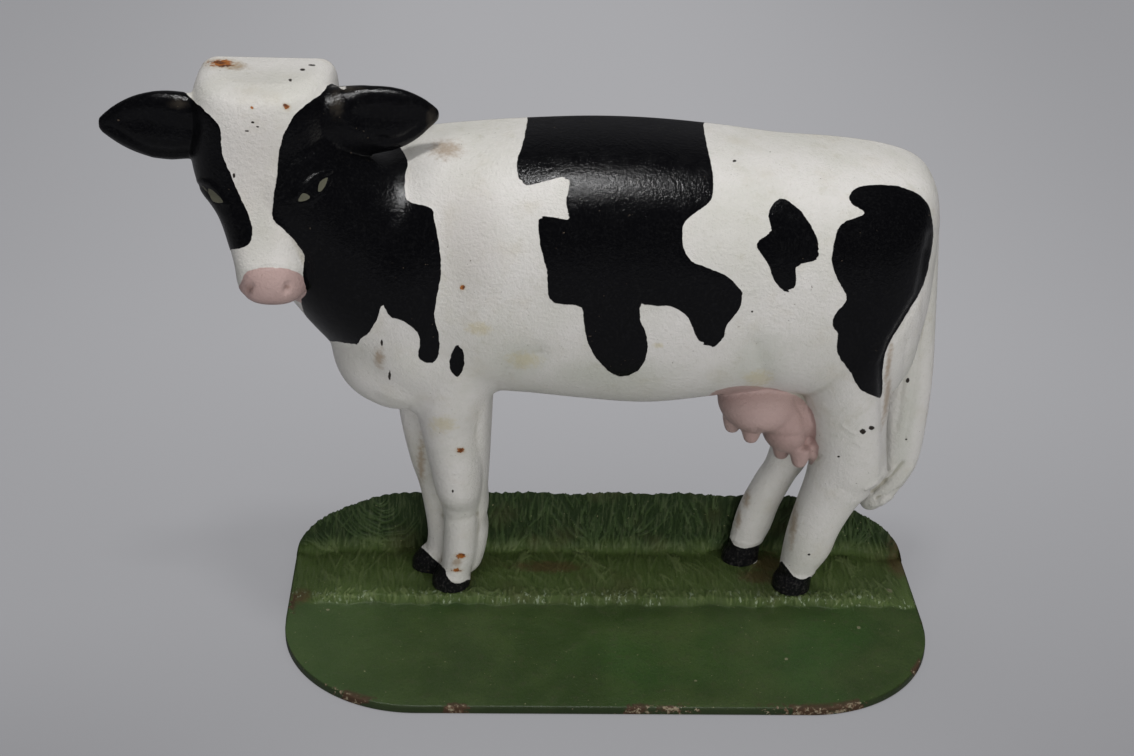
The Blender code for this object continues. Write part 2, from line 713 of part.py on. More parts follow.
def fuse(obj, triangles):
    """Joins overlapping skins into one, with the soft hollows between them that a sand casting has."""
    remesh = obj.modifiers.new("one_skin", "REMESH")
    remesh.mode = "VOXEL"
    remesh.voxel_size = CAST_GRAIN
    smooth = obj.modifiers.new("cast_fillets", "SMOOTH")
    smooth.factor = 0.5
    smooth.iterations = FILLET_PASSES
    apply_modifiers(obj)
    count = sum(len(face.vertices) - 2 for face in obj.data.polygons)
    thin = obj.modifiers.new("fewer_faces", "DECIMATE")
    thin.ratio = min(triangles / count, 1)
    apply_modifiers(obj)


def make_cow(material):
    cow = add_object("cow_casting", mesh_of("cow_casting", figure_shells), material)
    fuse(cow, FIGURE_TRIANGLES)

    hollow = cutter("cut_hollow", hollow_shells)
    fuse(hollow, HOLLOW_TRIANGLES)
    cut(cow, hollow)

    far = BASE_LENGTH
    behind = box_builder((-far, FIGURE_BACK, -far), (far, FIGURE_BACK + far, 2 * far))
    cut(cow, cutter("cut_flat_back", behind))
    under = box_builder((-far, -far, -far), (far, far, FIGURE_FOOT))
    cut(cow, cutter("cut_hoof_soles", under))

    radius = SCREW_DIAMETER / 2 + HOLE_CLEARANCE
    top = SCREW_RECESS + SCREW_LENGTH + HOLE_END_CLEARANCE
    for name, centre in hoof_places().items():
        profile = [(radius, -CUT_MARGIN), (radius, top - radius / 2), (radius / 4, top)]
        cut(cow, cutter(f"cut_tapped_{name}", turned_builder(profile, centre)))
    cow.data.shade_smooth()
    return cow


# Hoof screws

def make_screws(material):
    radius = SCREW_DIAMETER / 2
    head = SCREW_HEAD_DIAMETER / 2
    tip = SCREW_RECESS + SCREW_LENGTH
    for name, centre in hoof_places().items():
        profile = [
            (head, SCREW_RECESS),
            (radius, SCREW_RECESS + SCREW_HEAD_HEIGHT),
            (radius, tip - radius / 4),
            (0.75 * radius, tip),
        ]
        node = f"hoof_screw_{name}"
        screw = add_object(node, mesh_of(node, turned_builder(profile, centre)), material)
        slot = box_builder(
            (centre[0] - head - CUT_MARGIN, centre[1] - SLOT_WIDTH / 2, SCREW_RECESS - CUT_MARGIN),
            (centre[0] + head + CUT_MARGIN, centre[1] + SLOT_WIDTH / 2, SCREW_RECESS + SLOT_DEPTH),
        )
        cut(screw, cutter(f"cut_slot_{name}", slot))
        screw.data.shade_smooth()
        screw.data.set_sharp_from_angle(angle=math.radians(30))


def main():
    clear_scene()
    green = paint("grass_green_paint", (0.035, 0.060, 0.020), 0.45)
    white = paint("warm_white_paint", (0.62, 0.60, 0.57), 0.40)
    steel = paint("screw_steel", (0.30, 0.29, 0.28), 0.40, 1.0)
    make_base(green)
    make_cow(white)
    make_screws(steel)


main()
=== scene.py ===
# %% [markdown]
# # A painted cast iron doorstop
#
# The object is a one-sided dairy cow, flat and hollow at the back, screwed to a green base with a bank of
# grass along its rear edge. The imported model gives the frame: two castings and four screws, in metres, +Z
# up. The viewer looks along +Y and the cow walks towards -X. This script gives the castings the fine
# forms, paint and wear that the solids leave out.

# %% Load the frame
import math

import bpy
import numpy as np
from mathutils import Matrix, Vector
from mathutils.kdtree import KDTree


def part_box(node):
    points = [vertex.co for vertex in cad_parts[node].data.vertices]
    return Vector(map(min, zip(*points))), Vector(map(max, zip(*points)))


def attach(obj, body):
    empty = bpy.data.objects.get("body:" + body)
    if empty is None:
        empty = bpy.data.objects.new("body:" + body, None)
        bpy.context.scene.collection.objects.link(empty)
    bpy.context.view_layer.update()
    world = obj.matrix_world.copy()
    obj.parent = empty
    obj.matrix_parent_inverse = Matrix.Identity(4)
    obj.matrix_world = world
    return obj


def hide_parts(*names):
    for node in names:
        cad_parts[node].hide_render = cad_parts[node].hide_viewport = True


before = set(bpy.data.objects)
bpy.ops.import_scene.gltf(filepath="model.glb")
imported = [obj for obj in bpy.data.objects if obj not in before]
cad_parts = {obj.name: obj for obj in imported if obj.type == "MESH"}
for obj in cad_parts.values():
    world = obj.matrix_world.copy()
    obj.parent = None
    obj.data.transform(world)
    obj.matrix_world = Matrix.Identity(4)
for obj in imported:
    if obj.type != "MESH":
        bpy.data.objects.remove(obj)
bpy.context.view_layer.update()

print("nodes:", ", ".join(sorted(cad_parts)))

# %% [markdown]
# ## The size of things
#
# The same real sizes as in the solids, so that each fine piece stands exactly where its solid does. The
# figure is described by depth forward of its flat back and height above the ledge it stands on.

# %% Dimensions of the base, the seat and the figure
MM = 0.001

BASE_LENGTH = 0.222
BASE_DEPTH = 0.0925
PLATE_THICKNESS = 0.0032
FRONT_CORNER_RADIUS = 0.0465
REAR_CORNER_RADIUS = 0.007
RIM_ROUNDING = 0.0009
LEDGE_DEPTH = 0.032
LEDGE_RISE = 0.0023
LEDGE_SLOPE = 0.0022
LEDGE_END_MARGIN = 0.012
BANK_THICKNESS = 0.0045
BANK_HEIGHT = 0.0285
BANK_END_LENGTH = 0.048
BANK_END_FULLNESS = 0.62
BANK_END_LIP = 0.0006
BANK_LEAN = 0.0012
BANK_FOOT_REACH = 0.0036
BANK_FOOT_HEIGHT = 0.0045
HOOF_HOLLOW_MARGIN = 0.003
SEAT_GAP = 0.0003
FIGURE_WALL = 0.005

LEDGE_TOP = PLATE_THICKNESS + LEDGE_RISE
BANK_FRONT = BASE_DEPTH / 2 - BANK_THICKNESS
FIGURE_BACK = BANK_FRONT - SEAT_GAP
FIGURE_FOOT = LEDGE_TOP + SEAT_GAP

CHEST_X = -0.066
RUMP_X = 0.105
BACK_HEIGHT = 0.168
BELLY_HEIGHT = 0.0715
TRUNK_DEPTH = 0.050
BRISKET_REACH = 0.0175
BRISKET_RISE = 0.0185
BRISKET_HALF_HEIGHT = 0.0205
NECK_RADIUS = 0.036
HEAD_X = -0.1115
POLL_HEIGHT = 0.1850
MUZZLE_HEIGHT = 0.121
HEAD_HALF_WIDTH = 0.0228
MUZZLE_HALF_WIDTH = 0.0113
FOREHEAD_DEPTH = 0.038
MUZZLE_DEPTH = 0.0505
EAR_SPAN = 0.0305
EAR_HALF_HEIGHT = 0.0110
EAR_THICKNESS = 0.011
EAR_DEPTH = 0.018

NEAR_FRONT_HOOF = (-0.0545, 0.0215)
FAR_FRONT_HOOF = (-0.0620, 0.0110)
NEAR_HIND_HOOF = (0.0670, 0.0215)
FAR_HIND_HOOF = (0.0505, 0.0050)
HOOF_HEIGHT = 0.0085
HOOF_TOP_LEAN = 0.0016
HOOF_HALF_LENGTH = 0.0068
NEAR_HOOF_HALF_WIDTH = 0.0072
FAR_HOOF_HALF_WIDTH = 0.0058
NEAR_FRONT_LEG_RADIUS = 0.0080
FAR_FRONT_LEG_RADIUS = 0.0072
NEAR_HIND_LEG_RADIUS = 0.0084
FAR_HIND_LEG_RADIUS = 0.0062
KNEE_HEIGHT = 0.038
ELBOW_HEIGHT = 0.082
HOCK_HEIGHT = 0.047
STIFLE_HEIGHT = 0.088

TAIL_X = 0.104
TAIL_TIP_HEIGHT = 0.019
TAIL_HALF_WIDTH = 0.0095
TAIL_DEPTH = 0.009
UDDER_X = 0.049
UDDER_HEIGHT = 0.0760
UDDER_HALF_LENGTH = 0.0140
UDDER_HALF_HEIGHT = 0.0105
UDDER_DEPTH = 0.021
REAR_UDDER_HALF_LENGTH = 0.0090
REAR_UDDER_HALF_HEIGHT = 0.0120
REAR_UDDER_DROP = 0.0070
TEAT_LENGTH = 0.0085
TEAT_RADIUS = 0.0034

SCREW_DIAMETER = 0.004
SCREW_HEAD_DIAMETER = 0.0078
SCREW_HEAD_HEIGHT = 0.0022
SCREW_LENGTH = 0.0125
SCREW_RECESS = 0.0003
HOLE_CLEARANCE = 0.0003
HOLE_END_CLEARANCE = 0.0008

print(f"ledge top {LEDGE_TOP / MM:.1f} mm, flat back at y {FIGURE_BACK / MM:.2f} mm")

# %% [markdown]
# ## The camera, first
#
# The camera is set before any modelling, because every comparison with the photograph needs it. It stands
# half a metre in front of the doorstop and a little above it, and looks down by 29 degrees, turned 3
# degrees to one side. A 57 mm lens gives the photograph's perspective.

# %% Camera
CAMERA_PLACE = Vector((-0.043534, -0.506564, 0.378290))
CAMERA_DOWN = 0.502
CAMERA_TURN = -0.052
CAMERA_ROLL = 0.039

camera_data = bpy.data.cameras.new("camera")
camera_data.lens = 57.143
camera_data.sensor_width = 36
camera = bpy.data.objects.new("camera", camera_data)
bpy.context.scene.collection.objects.link(camera)
camera.matrix_world = (
    Matrix.Translation(CAMERA_PLACE)
    @ Matrix.Rotation(CAMERA_TURN, 4, "Z")
    @ Matrix.Rotation(math.pi / 2 - CAMERA_DOWN, 4, "X")
    @ Matrix.Rotation(CAMERA_ROLL, 4, "Z")
)
bpy.context.scene.camera = camera
print("camera stands at", [round(v, 3) for v in CAMERA_PLACE])

# %% [markdown]
# ## Tubes through rings
#
# An animal is modelled in clay as tubes: a barrel, a neck, four legs, a tail. Each tube here starts as a
# circle that is extruded step by step, and then each step's ring is set to its own size and place, as a
# modeller scales and moves ring after ring. The ends are filled and the faces turned outwards.
#
# Every tool of Blender acts on what is selected. So one helper adds each new mesh with nothing else
# selected, and another takes steps in edit mode on the whole of it.

# %% Read and set points, and make a tube of rings
STEP = 10 * MM
CLOSE = (bpy.ops.mesh.fill_holes, {"sides": 0}), (bpy.ops.mesh.normals_make_consistent, {"inside": False})


def add(name, primitive, **settings):
    """A new object with a basic mesh, under its own name."""
    bpy.ops.object.select_all(action="DESELECT")
    primitive(**settings)
    obj = bpy.context.object
    obj.name = obj.data.name = name
    return obj


def on_whole_mesh(*steps):
    """Takes each step in edit mode, with all of the mesh selected."""
    bpy.ops.object.mode_set(mode="EDIT")
    for step, settings in steps:
        bpy.ops.mesh.select_all(action="SELECT")
        step(**settings)
    bpy.ops.object.mode_set(mode="OBJECT")


def vectors_of(items, name):
    vectors = np.empty(len(items) * 3)
    items.foreach_get(name, vectors)
    return vectors.reshape(-1, 3)


def points_of(obj):
    return vectors_of(obj.data.vertices, "co")


def set_points(obj, places):
    obj.data.vertices.foreach_set("co", np.ascontiguousarray(places, dtype=np.float32).ravel())
    obj.data.update()


def tube_of_rings(name, rings):
    rings = np.array(rings, float)
    count = rings.shape[1]
    tube = add(name, bpy.ops.mesh.primitive_circle_add, vertices=count, radius=STEP)
    on_whole_mesh((bpy.ops.mesh.extrude_repeat, {"steps": len(rings) - 1, "offset": (0, 0, STEP)}))
    places = points_of(tube)
    ring = np.rint(places[:, 2] / STEP).astype(int)
    turn = np.rint(np.arctan2(places[:, 1], places[:, 0]) / (2 * math.pi / count)).astype(int) % count
    set_points(tube, rings[ring, turn])
    on_whole_mesh(*CLOSE)
    return tube


print("a tube grows by", STEP / MM, "mm a ring before its rings are set")

# %% [markdown]
# ## Rings of a figure
#
# Only a few rings of a form are given, as stages. A smooth curve through the stages gives the rings between
# them. Depth is counted forward of the flat back, and height up from the soles.

# %% Smooth stages, places on the figure and kinds of ring
RING_POINTS = 48
RINGS_PER_STAGE = 5
USUAL_SQUARENESS = 0.85


def curve_through(before, start, end, after, between):
    """Rows on a smooth curve from each start to its end, bent towards the rows before and after."""
    rows = []
    for step in range(between):
        t = step / between
        bend = t**2 * (2 * before - 5 * start + 4 * end - after)
        bend += t**3 * (3 * start - 3 * end + after - before)
        rows.append(start + (t * (end - before) + bend) / 2)
    return np.stack(rows, 1).reshape(-1, start.shape[1])


def eased(stages):
    """The stages of a tube with more between them, on a smooth curve through each of their columns."""
    table = np.array(stages, float)
    before = np.vstack([table[:1], table[:-1]])[:-1]
    after = np.vstack([table[2:], table[-1:]])
    return np.vstack([curve_through(before, table[:-1], table[1:], after, RINGS_PER_STAGE), table[-1:]])


def at(x, depth, height):
    return Vector((x, FIGURE_BACK - depth, FIGURE_FOOT + height))


def unit_ring(power):
    """A ring that is rounder at power 1 and squarer below it."""
    turns = 2 * math.pi * np.arange(RING_POINTS) / RING_POINTS
    c, s = np.cos(turns), np.sin(turns)
    return np.copysign(np.abs(c) ** power, c), np.copysign(np.abs(s) ** power, s)


def upright_ring(x, top, bottom, depth, power):
    """A ring across the body, whose upper half is as square as power says."""
    upper, lower = np.array(unit_ring(power)).T, np.array(unit_ring(USUAL_SQUARENESS)).T
    middle, half = (top + bottom) / 2, (top - bottom) / 2
    ring = np.where(upper[:, 1:] >= 0, upper, lower)
    return [at(x, depth * a, middle + half * b) for a, b in ring]


def level_ring(x, depth, height, half_length, half_width, power=1.0, lean=0.0):
    c, s = unit_ring(power)
    return [at(x + half_length * a, depth + half_width * b, height + lean * a) for a, b in zip(c, s)]


def tube_ring(centre, along, side_radius, rise_radius):
    """A ring square to the direction along."""
    along = Vector(along).normalized()
    side = Vector((0, 1, 0))
    side = (side - along * side.dot(along)).normalized()
    rise = along.cross(side)
    c, s = unit_ring(1.0)
    return [at(*centre) + side * side_radius * a + rise * rise_radius * b for a, b in zip(c, s)]


print("rings of", RING_POINTS, "points,", RINGS_PER_STAGE, "rings to a stage")

# %% [markdown]
# ## Barrel, neck and brisket
#
# The barrel is a row of upright rings, centred on the flat back so that half of each shows. The tables are
# those of the solid: how far along the ring stands, how far the back has fallen and the belly risen, and
# how deep it is. The neck leans forwards from the shoulder to the back of the head, and the brisket is the
# rounded breast between neck and forelegs.

# %% Trunk, neck and brisket
FLANK_SQUARENESS = 0.74


def size_and_place(sizes, middle):
    """Stretches the active mesh to three sizes and moves it."""
    resize, move = bpy.ops.transform.resize, bpy.ops.transform.translate
    on_whole_mesh((resize, {"value": sizes}), (move, {"value": middle}))


def ball(name, centre, half_length, half_depth, half_height):
    """A rounded swelling: a sphere that is squeezed to three half sizes."""
    swelling = add(name, bpy.ops.mesh.primitive_uv_sphere_add, segments=48, ring_count=24, radius=1)
    size_and_place((half_length, half_depth, half_height), at(*centre))
    return swelling


def trunk_rings(inset=0.0):
    length, tall = RUMP_X - CHEST_X, BACK_HEIGHT - BELLY_HEIGHT
    stages = [
        (-0.075, 0.13, 0.78, 0.45),
        (0.00, 0.055, 0.935, 0.80),
        (0.09, 0.030, 0.960, 0.92),
        (0.20, 0.012, 0.960, 0.97),
        (0.33, 0.0, 0.980, 1.0),
        (0.45, 0.004, 0.992, 1.0),
        (0.57, 0.022, 0.965, 0.98),
        (0.68, 0.045, 0.940, 0.95),
        (0.79, 0.055, 0.970, 0.93),
        (0.88, 0.075, 1.00, 0.86),
        (0.945, 0.11, 0.97, 0.70),
        (0.98, 0.165, 0.84, 0.48),
        (1.00, 0.24, 0.66, 0.22),
    ]
    first = CHEST_X + length * stages[0][0]
    squareness = USUAL_SQUARENESS if inset else FLANK_SQUARENESS
    rings = []
    for along, fall, down, deep in eased(stages):
        x = CHEST_X + length * along
        top = BACK_HEIGHT - tall * fall - inset
        bottom = BACK_HEIGHT - tall * down + inset
        depth = TRUNK_DEPTH * deep - inset
        if first + inset <= x <= RUMP_X - inset and depth > 0 and top > bottom:
            rings.append(upright_ring(x, top, bottom, depth, squareness))
    return rings


def neck_rings(inset=0.0):
    tall, reach = POLL_HEIGHT - MUZZLE_HEIGHT, CHEST_X - HEAD_X
    stages = [
        (-0.50, 0.00, 0.10, 0.22, 1.00, 1.19),
        (-0.02, 0.01, 0.20, 0.28, 1.00, 1.24),
        (0.30, 0.08, 0.50, 0.36, 0.86, 0.97),
        (0.60, 0.26, 0.90, 0.44, 0.75, 0.76),
        (0.85, 0.46, 1.60, 0.50, 0.67, 0.64),
        (0.95, 0.68, 3.00, 0.50, 0.56, 0.53),
    ]
    rings = []
    for out, up, slope, deep, side, rise in eased(stages):
        centre = (CHEST_X - reach * out, NECK_RADIUS * deep, MUZZLE_HEIGHT + tall * up)
        radii = (NECK_RADIUS * side - inset, NECK_RADIUS * rise - inset)
        rings.append(tube_ring(centre, (-1, 0, slope), *radii))
    return rings


trunk = tube_of_rings("trunk", trunk_rings())
neck = tube_of_rings("neck", neck_rings())
brisket = ball(
    "brisket",
    (CHEST_X - BRISKET_REACH / 3, 0.28 * TRUNK_DEPTH, BELLY_HEIGHT + BRISKET_RISE),
    BRISKET_REACH, 0.48 * TRUNK_DEPTH, BRISKET_HALF_HEIGHT,
)
breast = ball("breast", (-66 * MM, 13 * MM, 103 * MM), 24 * MM, 31 * MM, 28 * MM)
chest = ball("chest", (-74 * MM, 13 * MM, 92 * MM), 21 * MM, 24 * MM, 21.5 * MM)
body_forms = [trunk, neck, brisket, breast, chest]
print("trunk, neck and brisket:", sum(len(form.data.vertices) for form in body_forms), "points")

# %% [markdown]
# ## Head and ears
#
# The head is turned towards the viewer. Its rings are level, and run from the muzzle up to the flat, boxy
# poll. The ears are leaves that point sideways: a tube that swells and comes to a tip, whose front is then
# scooped out below a raised rim, as the real ear is.

# %% Head and ears


def head_rings(inset=0.0):
    tall = POLL_HEIGHT - MUZZLE_HEIGHT
    wide, narrow = HEAD_HALF_WIDTH, MUZZLE_HALF_WIDTH
    brow, nose = FOREHEAD_DEPTH, MUZZLE_DEPTH
    # how far up, how far across, half its width, and how far it reaches behind and ahead
    stages = [
        (1.00, -0.057, 0.76 * wide, -0.60 * brow, 0.66 * brow),
        (0.96, -0.070, 0.91 * wide, -0.70 * brow, 0.87 * brow),
        (0.86, -0.083, 0.99 * wide, -0.60 * brow, 0.95 * brow),
        (0.67, -0.088, 1.02 * wide, -0.50 * brow, 1.00 * brow),
        (0.51, -0.092, 0.92 * wide, -0.25 * brow, 1.06 * brow),
        (0.38, -0.044, 0.68 * wide, -0.05 * brow, 0.87 * nose),
        (0.26, 0.000, 0.56 * wide, 0.15 * nose, 0.94 * nose),
        (0.16, 0.053, 1.04 * narrow, 0.27 * nose, 1.00 * nose),
        (0.06, 0.075, 1.00 * narrow, 0.35 * nose, 1.00 * nose),
        (0.00, 0.075, 0.75 * narrow, 0.46 * nose, 0.92 * nose),
    ]
    rings = []
    for up, shift, half, behind, ahead in eased(stages):
        height = min(MUZZLE_HEIGHT + tall * up, POLL_HEIGHT - inset)
        middle, deep = (behind + ahead - inset) / 2, (ahead - inset - behind) / 2
        if up >= 0.5 or not inset:
            rings.append(level_ring(HEAD_X + shift * wide, middle, height, half - inset, deep, power=0.8))
    return rings[::-1]


# how far out along the ear, how high and how thick, as shares of its half height and half thickness
EAR_STAGES = [
    (-0.45, 0.50, 0.4), (-0.18, 0.80, 0.85), (0.08, 0.95, 1.0), (0.35, 1.00, 0.92),
    (0.62, 0.84, 0.75), (0.84, 0.52, 0.50), (1.00, 0.14, 0.20),
]


def ear_middle(side, out):
    """Where the ear's middle is at a share of its span. The right ear is raised and rises outwards."""
    raised, lift = (0.06, 0.11) if side > 0 else (0, 0)
    height = POLL_HEIGHT - 0.255 * (POLL_HEIGHT - MUZZLE_HEIGHT) + (raised + lift * out) * EAR_SPAN
    return HEAD_X + side * (0.97 * HEAD_HALF_WIDTH + EAR_SPAN * out), EAR_DEPTH, height


def ear_rings(side):
    """The right ear's root flares, so that it flows out of the cheek."""
    rings = []
    for out, high, thick in eased(EAR_STAGES):
        flare = 1 + 1.3 * min(max((0.30 - out) / 0.6, 0), 1) if side > 0 else 1
        radii = (EAR_THICKNESS / 2 * thick * flare, EAR_HALF_HEIGHT * high * min(flare, 1.04 / high))
        rings.append(tube_ring(ear_middle(side, out), (side, 0, 0), *radii))
    return rings


head = tube_of_rings("head", head_rings())
left_ear = tube_of_rings("left_ear", ear_rings(-1))
right_ear = tube_of_rings("right_ear", ear_rings(1))
body_forms += [head, left_ear, right_ear]
print("head and ears:", len(head.data.vertices) + 2 * len(left_ear.data.vertices), "points")

# %% [markdown]
# ## Legs and hooves
#
# Two near legs stand in front and two far ones further back. Each runs up from its hoof, through the
# knee or hock, into the body. The hooves are short wedges that widen downwards and point forwards.

# %% Legs and hooves


def leg_rings(hoof, radius, stages):
    x, depth = hoof
    heights = [(start + share * stretch, *rest) for (start, stretch), share, *rest in stages]
    return [
        level_ring(x + radius * back, depth + radius * forward, height, radius * long, radius * wide)
        for height, back, forward, long, wide in eased(heights)
    ]


def hoof_rings(hoof, half_width):
    x, depth = hoof
    toe = 0.12 * HOOF_HALF_LENGTH
    stages = [
        (0, -0.005, 1.0, 0),
        (0, 0.25 * HOOF_HEIGHT, 1.0, 0),
        (toe, 0.70 * HOOF_HEIGHT, 0.90, 0.75 * HOOF_TOP_LEAN),
        (2 * toe, HOOF_HEIGHT, 0.72, HOOF_TOP_LEAN),
    ]
    return [
        level_ring(x + shift, depth, height, share * HOOF_HALF_LENGTH, share * half_width, lean=lean)
        for shift, height, share, lean in eased(stages)
    ]


# a leg's joints: how high each is, and how long the stretch is that heights near it are counted in
SOLE = (0, HOOF_HEIGHT)
KNEE = (KNEE_HEIGHT, ELBOW_HEIGHT - KNEE_HEIGHT)
ELBOW = (ELBOW_HEIGHT, ELBOW_HEIGHT - KNEE_HEIGHT)
FRONT_HOOF = (HOOF_HEIGHT, KNEE_HEIGHT - HOOF_HEIGHT)
HOCK = (HOCK_HEIGHT, STIFLE_HEIGHT - HOCK_HEIGHT)
STIFLE = (STIFLE_HEIGHT, STIFLE_HEIGHT - HOCK_HEIGHT)
HIND_HOOF = (HOOF_HEIGHT, HOCK_HEIGHT - HOOF_HEIGHT)

# hoof, its half width and the leg's radius, then for each ring a joint, how far above it, how far back and
# forward, and how long and wide, all in radii
LEGS = {
    "near_front_leg": (NEAR_FRONT_HOOF, NEAR_HOOF_HALF_WIDTH, NEAR_FRONT_LEG_RADIUS, [
        (SOLE, 0.55, 0.19, -0.06, 0.63, 0.75),
        (FRONT_HOOF, 0.15, 0.36, -0.12, 0.74, 0.86),
        (FRONT_HOOF, 0.45, 0.40, -0.12, 0.74, 0.85),
        (FRONT_HOOF, 0.80, 0.38, -0.10, 0.78, 0.90),
        (KNEE, -0.02, 0.32, 0.04, 0.92, 1.16),
        (KNEE, 0.08, 0.28, 0.12, 1.02, 1.34),
        (KNEE, 0.30, 0.18, 0.12, 1.14, 1.44),
        (KNEE, 0.65, -0.02, 0.12, 1.34, 1.62),
        (ELBOW, 0, 0.00, 0.10, 1.72, 2.12),
        (ELBOW, 0.60, 0.12, -0.45, 2.45, 3.05),
        (ELBOW, 1.10, 0.12, -1.88, 2.00, 2.50),
    ]),
    "far_front_leg": (FAR_FRONT_HOOF, FAR_HOOF_HALF_WIDTH, FAR_FRONT_LEG_RADIUS, [
        (SOLE, 0.55, 0.42, -0.14, 0.72, 0.72),
        (FRONT_HOOF, 0.20, 0.67, -0.21, 0.83, 0.83),
        (FRONT_HOOF, 0.80, 0.47, -0.28, 1.00, 0.92),
        (KNEE, 0.12, 0.17, -0.28, 1.14, 1.04),
        (KNEE, 0.45, -0.14, -0.28, 1.25, 1.18),
        (KNEE, 0.80, -0.25, -0.42, 1.39, 1.39),
        (ELBOW, 0.40, 0.42, -0.56, 1.94, 1.67),
    ]),
    "near_hind_leg": (NEAR_HIND_HOOF, NEAR_HOOF_HALF_WIDTH, NEAR_HIND_LEG_RADIUS, [
        (SOLE, 0.55, 0.12, -0.12, 0.69, 0.74),
        (HIND_HOOF, 0.15, 0.50, -0.12, 1.00, 0.93),
        (HIND_HOOF, 0.40, 0.72, -0.10, 1.10, 0.95),
        (HIND_HOOF, 0.70, 1.15, -0.06, 1.28, 1.02),
        (HIND_HOOF, 0.86, 1.52, -0.02, 1.50, 1.12),
        (HOCK, 0.02, 1.78, 0.04, 1.66, 1.26),
        (HOCK, 0.26, 1.72, 0.10, 1.56, 1.46),
        (HOCK, 0.60, 1.44, 0.14, 1.66, 1.79),
        (STIFLE, 0, 1.19, 0.12, 1.90, 2.26),
        (STIFLE, 0.50, 1.07, -0.12, 2.44, 2.92),
        (STIFLE, 1.10, 1.07, -0.71, 2.80, 2.98),
        (STIFLE, 1.60, 0.95, -1.55, 2.38, 2.38),
    ]),
    "far_hind_leg": (FAR_HIND_HOOF, FAR_HOOF_HALF_WIDTH, FAR_HIND_LEG_RADIUS, [
        (SOLE, 0.55, 0.13, 0.00, 0.89, 0.74),
        (HIND_HOOF, 0.15, 0.52, 0.00, 1.12, 0.90),
        (HIND_HOOF, 0.40, 0.88, 0.00, 1.14, 0.94),
        (HIND_HOOF, 0.70, 1.58, 0.08, 1.14, 0.97),
        (HIND_HOOF, 0.90, 2.15, 0.16, 1.18, 1.06),
        (HOCK, 0.25, 2.62, 0.16, 1.37, 1.29),
        (HOCK, 0.65, 2.82, 0.16, 1.77, 1.61),
        (STIFLE, 0.20, 3.23, 0.00, 2.26, 1.94),
    ]),
}
for name, (hoof, half_width, radius, stages) in LEGS.items():
    body_forms.append(tube_of_rings(name, leg_rings(hoof, radius, stages)))
    body_forms.append(tube_of_rings(name + "_hoof", hoof_rings(hoof, half_width)))
# the thin web behind the near foreleg: height, where its outer edge stands, half its depth, in millimetres
WEB_HALF_LENGTH = 6 * MM
WEB = [
    (1.5, -45.6, 7), (5, -43.6, 9), (12, -42.1, 10), (18, -41.5, 9.5), (23, -42.2, 9.5), (29, -41.5, 10),
    (35, -41.9, 11), (47, -41.4, 13), (60, -41.0, 17), (74, -40.6, 20), (84, -40.5, 22),
]
web_rings = [
    level_ring(edge * MM - WEB_HALF_LENGTH, 12 * MM, up * MM, WEB_HALF_LENGTH, deep * MM, power=0.75)
    for up, edge, deep in eased(WEB)
]
body_forms.append(tube_of_rings("near_front_web", web_rings))
print("legs and hooves:", 2 * len(LEGS) + 1, "tubes")

# %% [markdown]
# ## Tail and udder
#
# The tail hangs against the flat back and ends in a brush. The udder is two rounded quarters, the rear one
# lower, each with a teat on either side, and two smaller swellings that lead over to the thigh.

# %% Tail and udder


def tail_rings():
    drop = BACK_HEIGHT - TAIL_TIP_HEIGHT
    stages = [
        (0.86, -0.79, 0.40, 0.9),
        (0.80, -0.21, 0.46, 0.9),
        (0.74, -0.08, 0.46, 0.9),
        (0.64, 0.00, 0.55, 0.9),
        (0.51, 0.00, 0.75, 0.9),
        (0.38, -0.05, 0.98, 0.95),
        (0.24, -0.05, 1.00, 1.0),
        (0.14, -0.14, 0.96, 0.95),
        (0.06, -0.47, 0.74, 0.75),
        (0.015, -0.72, 0.42, 0.45),
        (0.00, -0.76, 0.15, 0.2),
    ]
    return [
        level_ring(TAIL_X + TAIL_HALF_WIDTH * shift, 0, TAIL_TIP_HEIGHT + drop * up, TAIL_HALF_WIDTH * wide,
                   TAIL_DEPTH * deep)
        for up, shift, wide, deep in eased(stages)
    ]


def teat_rings(x, depth, height):
    stages = [(0, 1.15), (0.5, 1.0), (0.9, 0.7), (1.0, 0.3)]
    return [
        level_ring(x, depth, height - TEAT_LENGTH * drop, share * TEAT_RADIUS, share * TEAT_RADIUS)
        for drop, share in stages
    ]


# centre and half sizes of each swelling: along, deep and high
UDDER_FORMS = {
    "front_quarter": (
        (UDDER_X, UDDER_DEPTH, UDDER_HEIGHT), (UDDER_HALF_LENGTH, 0.75 * UDDER_DEPTH, UDDER_HALF_HEIGHT)
    ),
    "rear_quarter": (
        (UDDER_X + 0.70 * UDDER_HALF_LENGTH, UDDER_DEPTH, UDDER_HEIGHT - REAR_UDDER_DROP),
        (REAR_UDDER_HALF_LENGTH, 0.62 * UDDER_DEPTH, REAR_UDDER_HALF_HEIGHT),
    ),
    "udder_root": ((60.5 * MM, 18 * MM, 69.5 * MM), (9 * MM, 13 * MM, 11 * MM)),
    "udder_heel": ((69 * MM, 19 * MM, 59.5 * MM), (6 * MM, 9 * MM, 7 * MM)),
}
# where each teat leaves its quarter: shares of its half length, of the udder's depth and of its half height
TEATS = []
for quarter, along, deep, down in [
    ("front_quarter", -0.56, 0.90, 0.57),
    ("front_quarter", -0.18, 1.30, 0.48),
    ("rear_quarter", 0.02, 0.90, 0.78),
    ("rear_quarter", 0.56, 1.30, 0.63),
]:
    (x, _, height), (half_length, _, half_height) = UDDER_FORMS[quarter]
    TEATS.append((x + half_length * along, UDDER_DEPTH * deep, height - half_height * down))
body_forms.append(tube_of_rings("tail", tail_rings()))
body_forms += [ball(name, centre, *halves) for name, (centre, halves) in UDDER_FORMS.items()]
body_forms += [tube_of_rings(f"teat_{i}", teat_rings(*teat)) for i, teat in enumerate(TEATS)]
print("tail, udder and", len(TEATS), "teats")

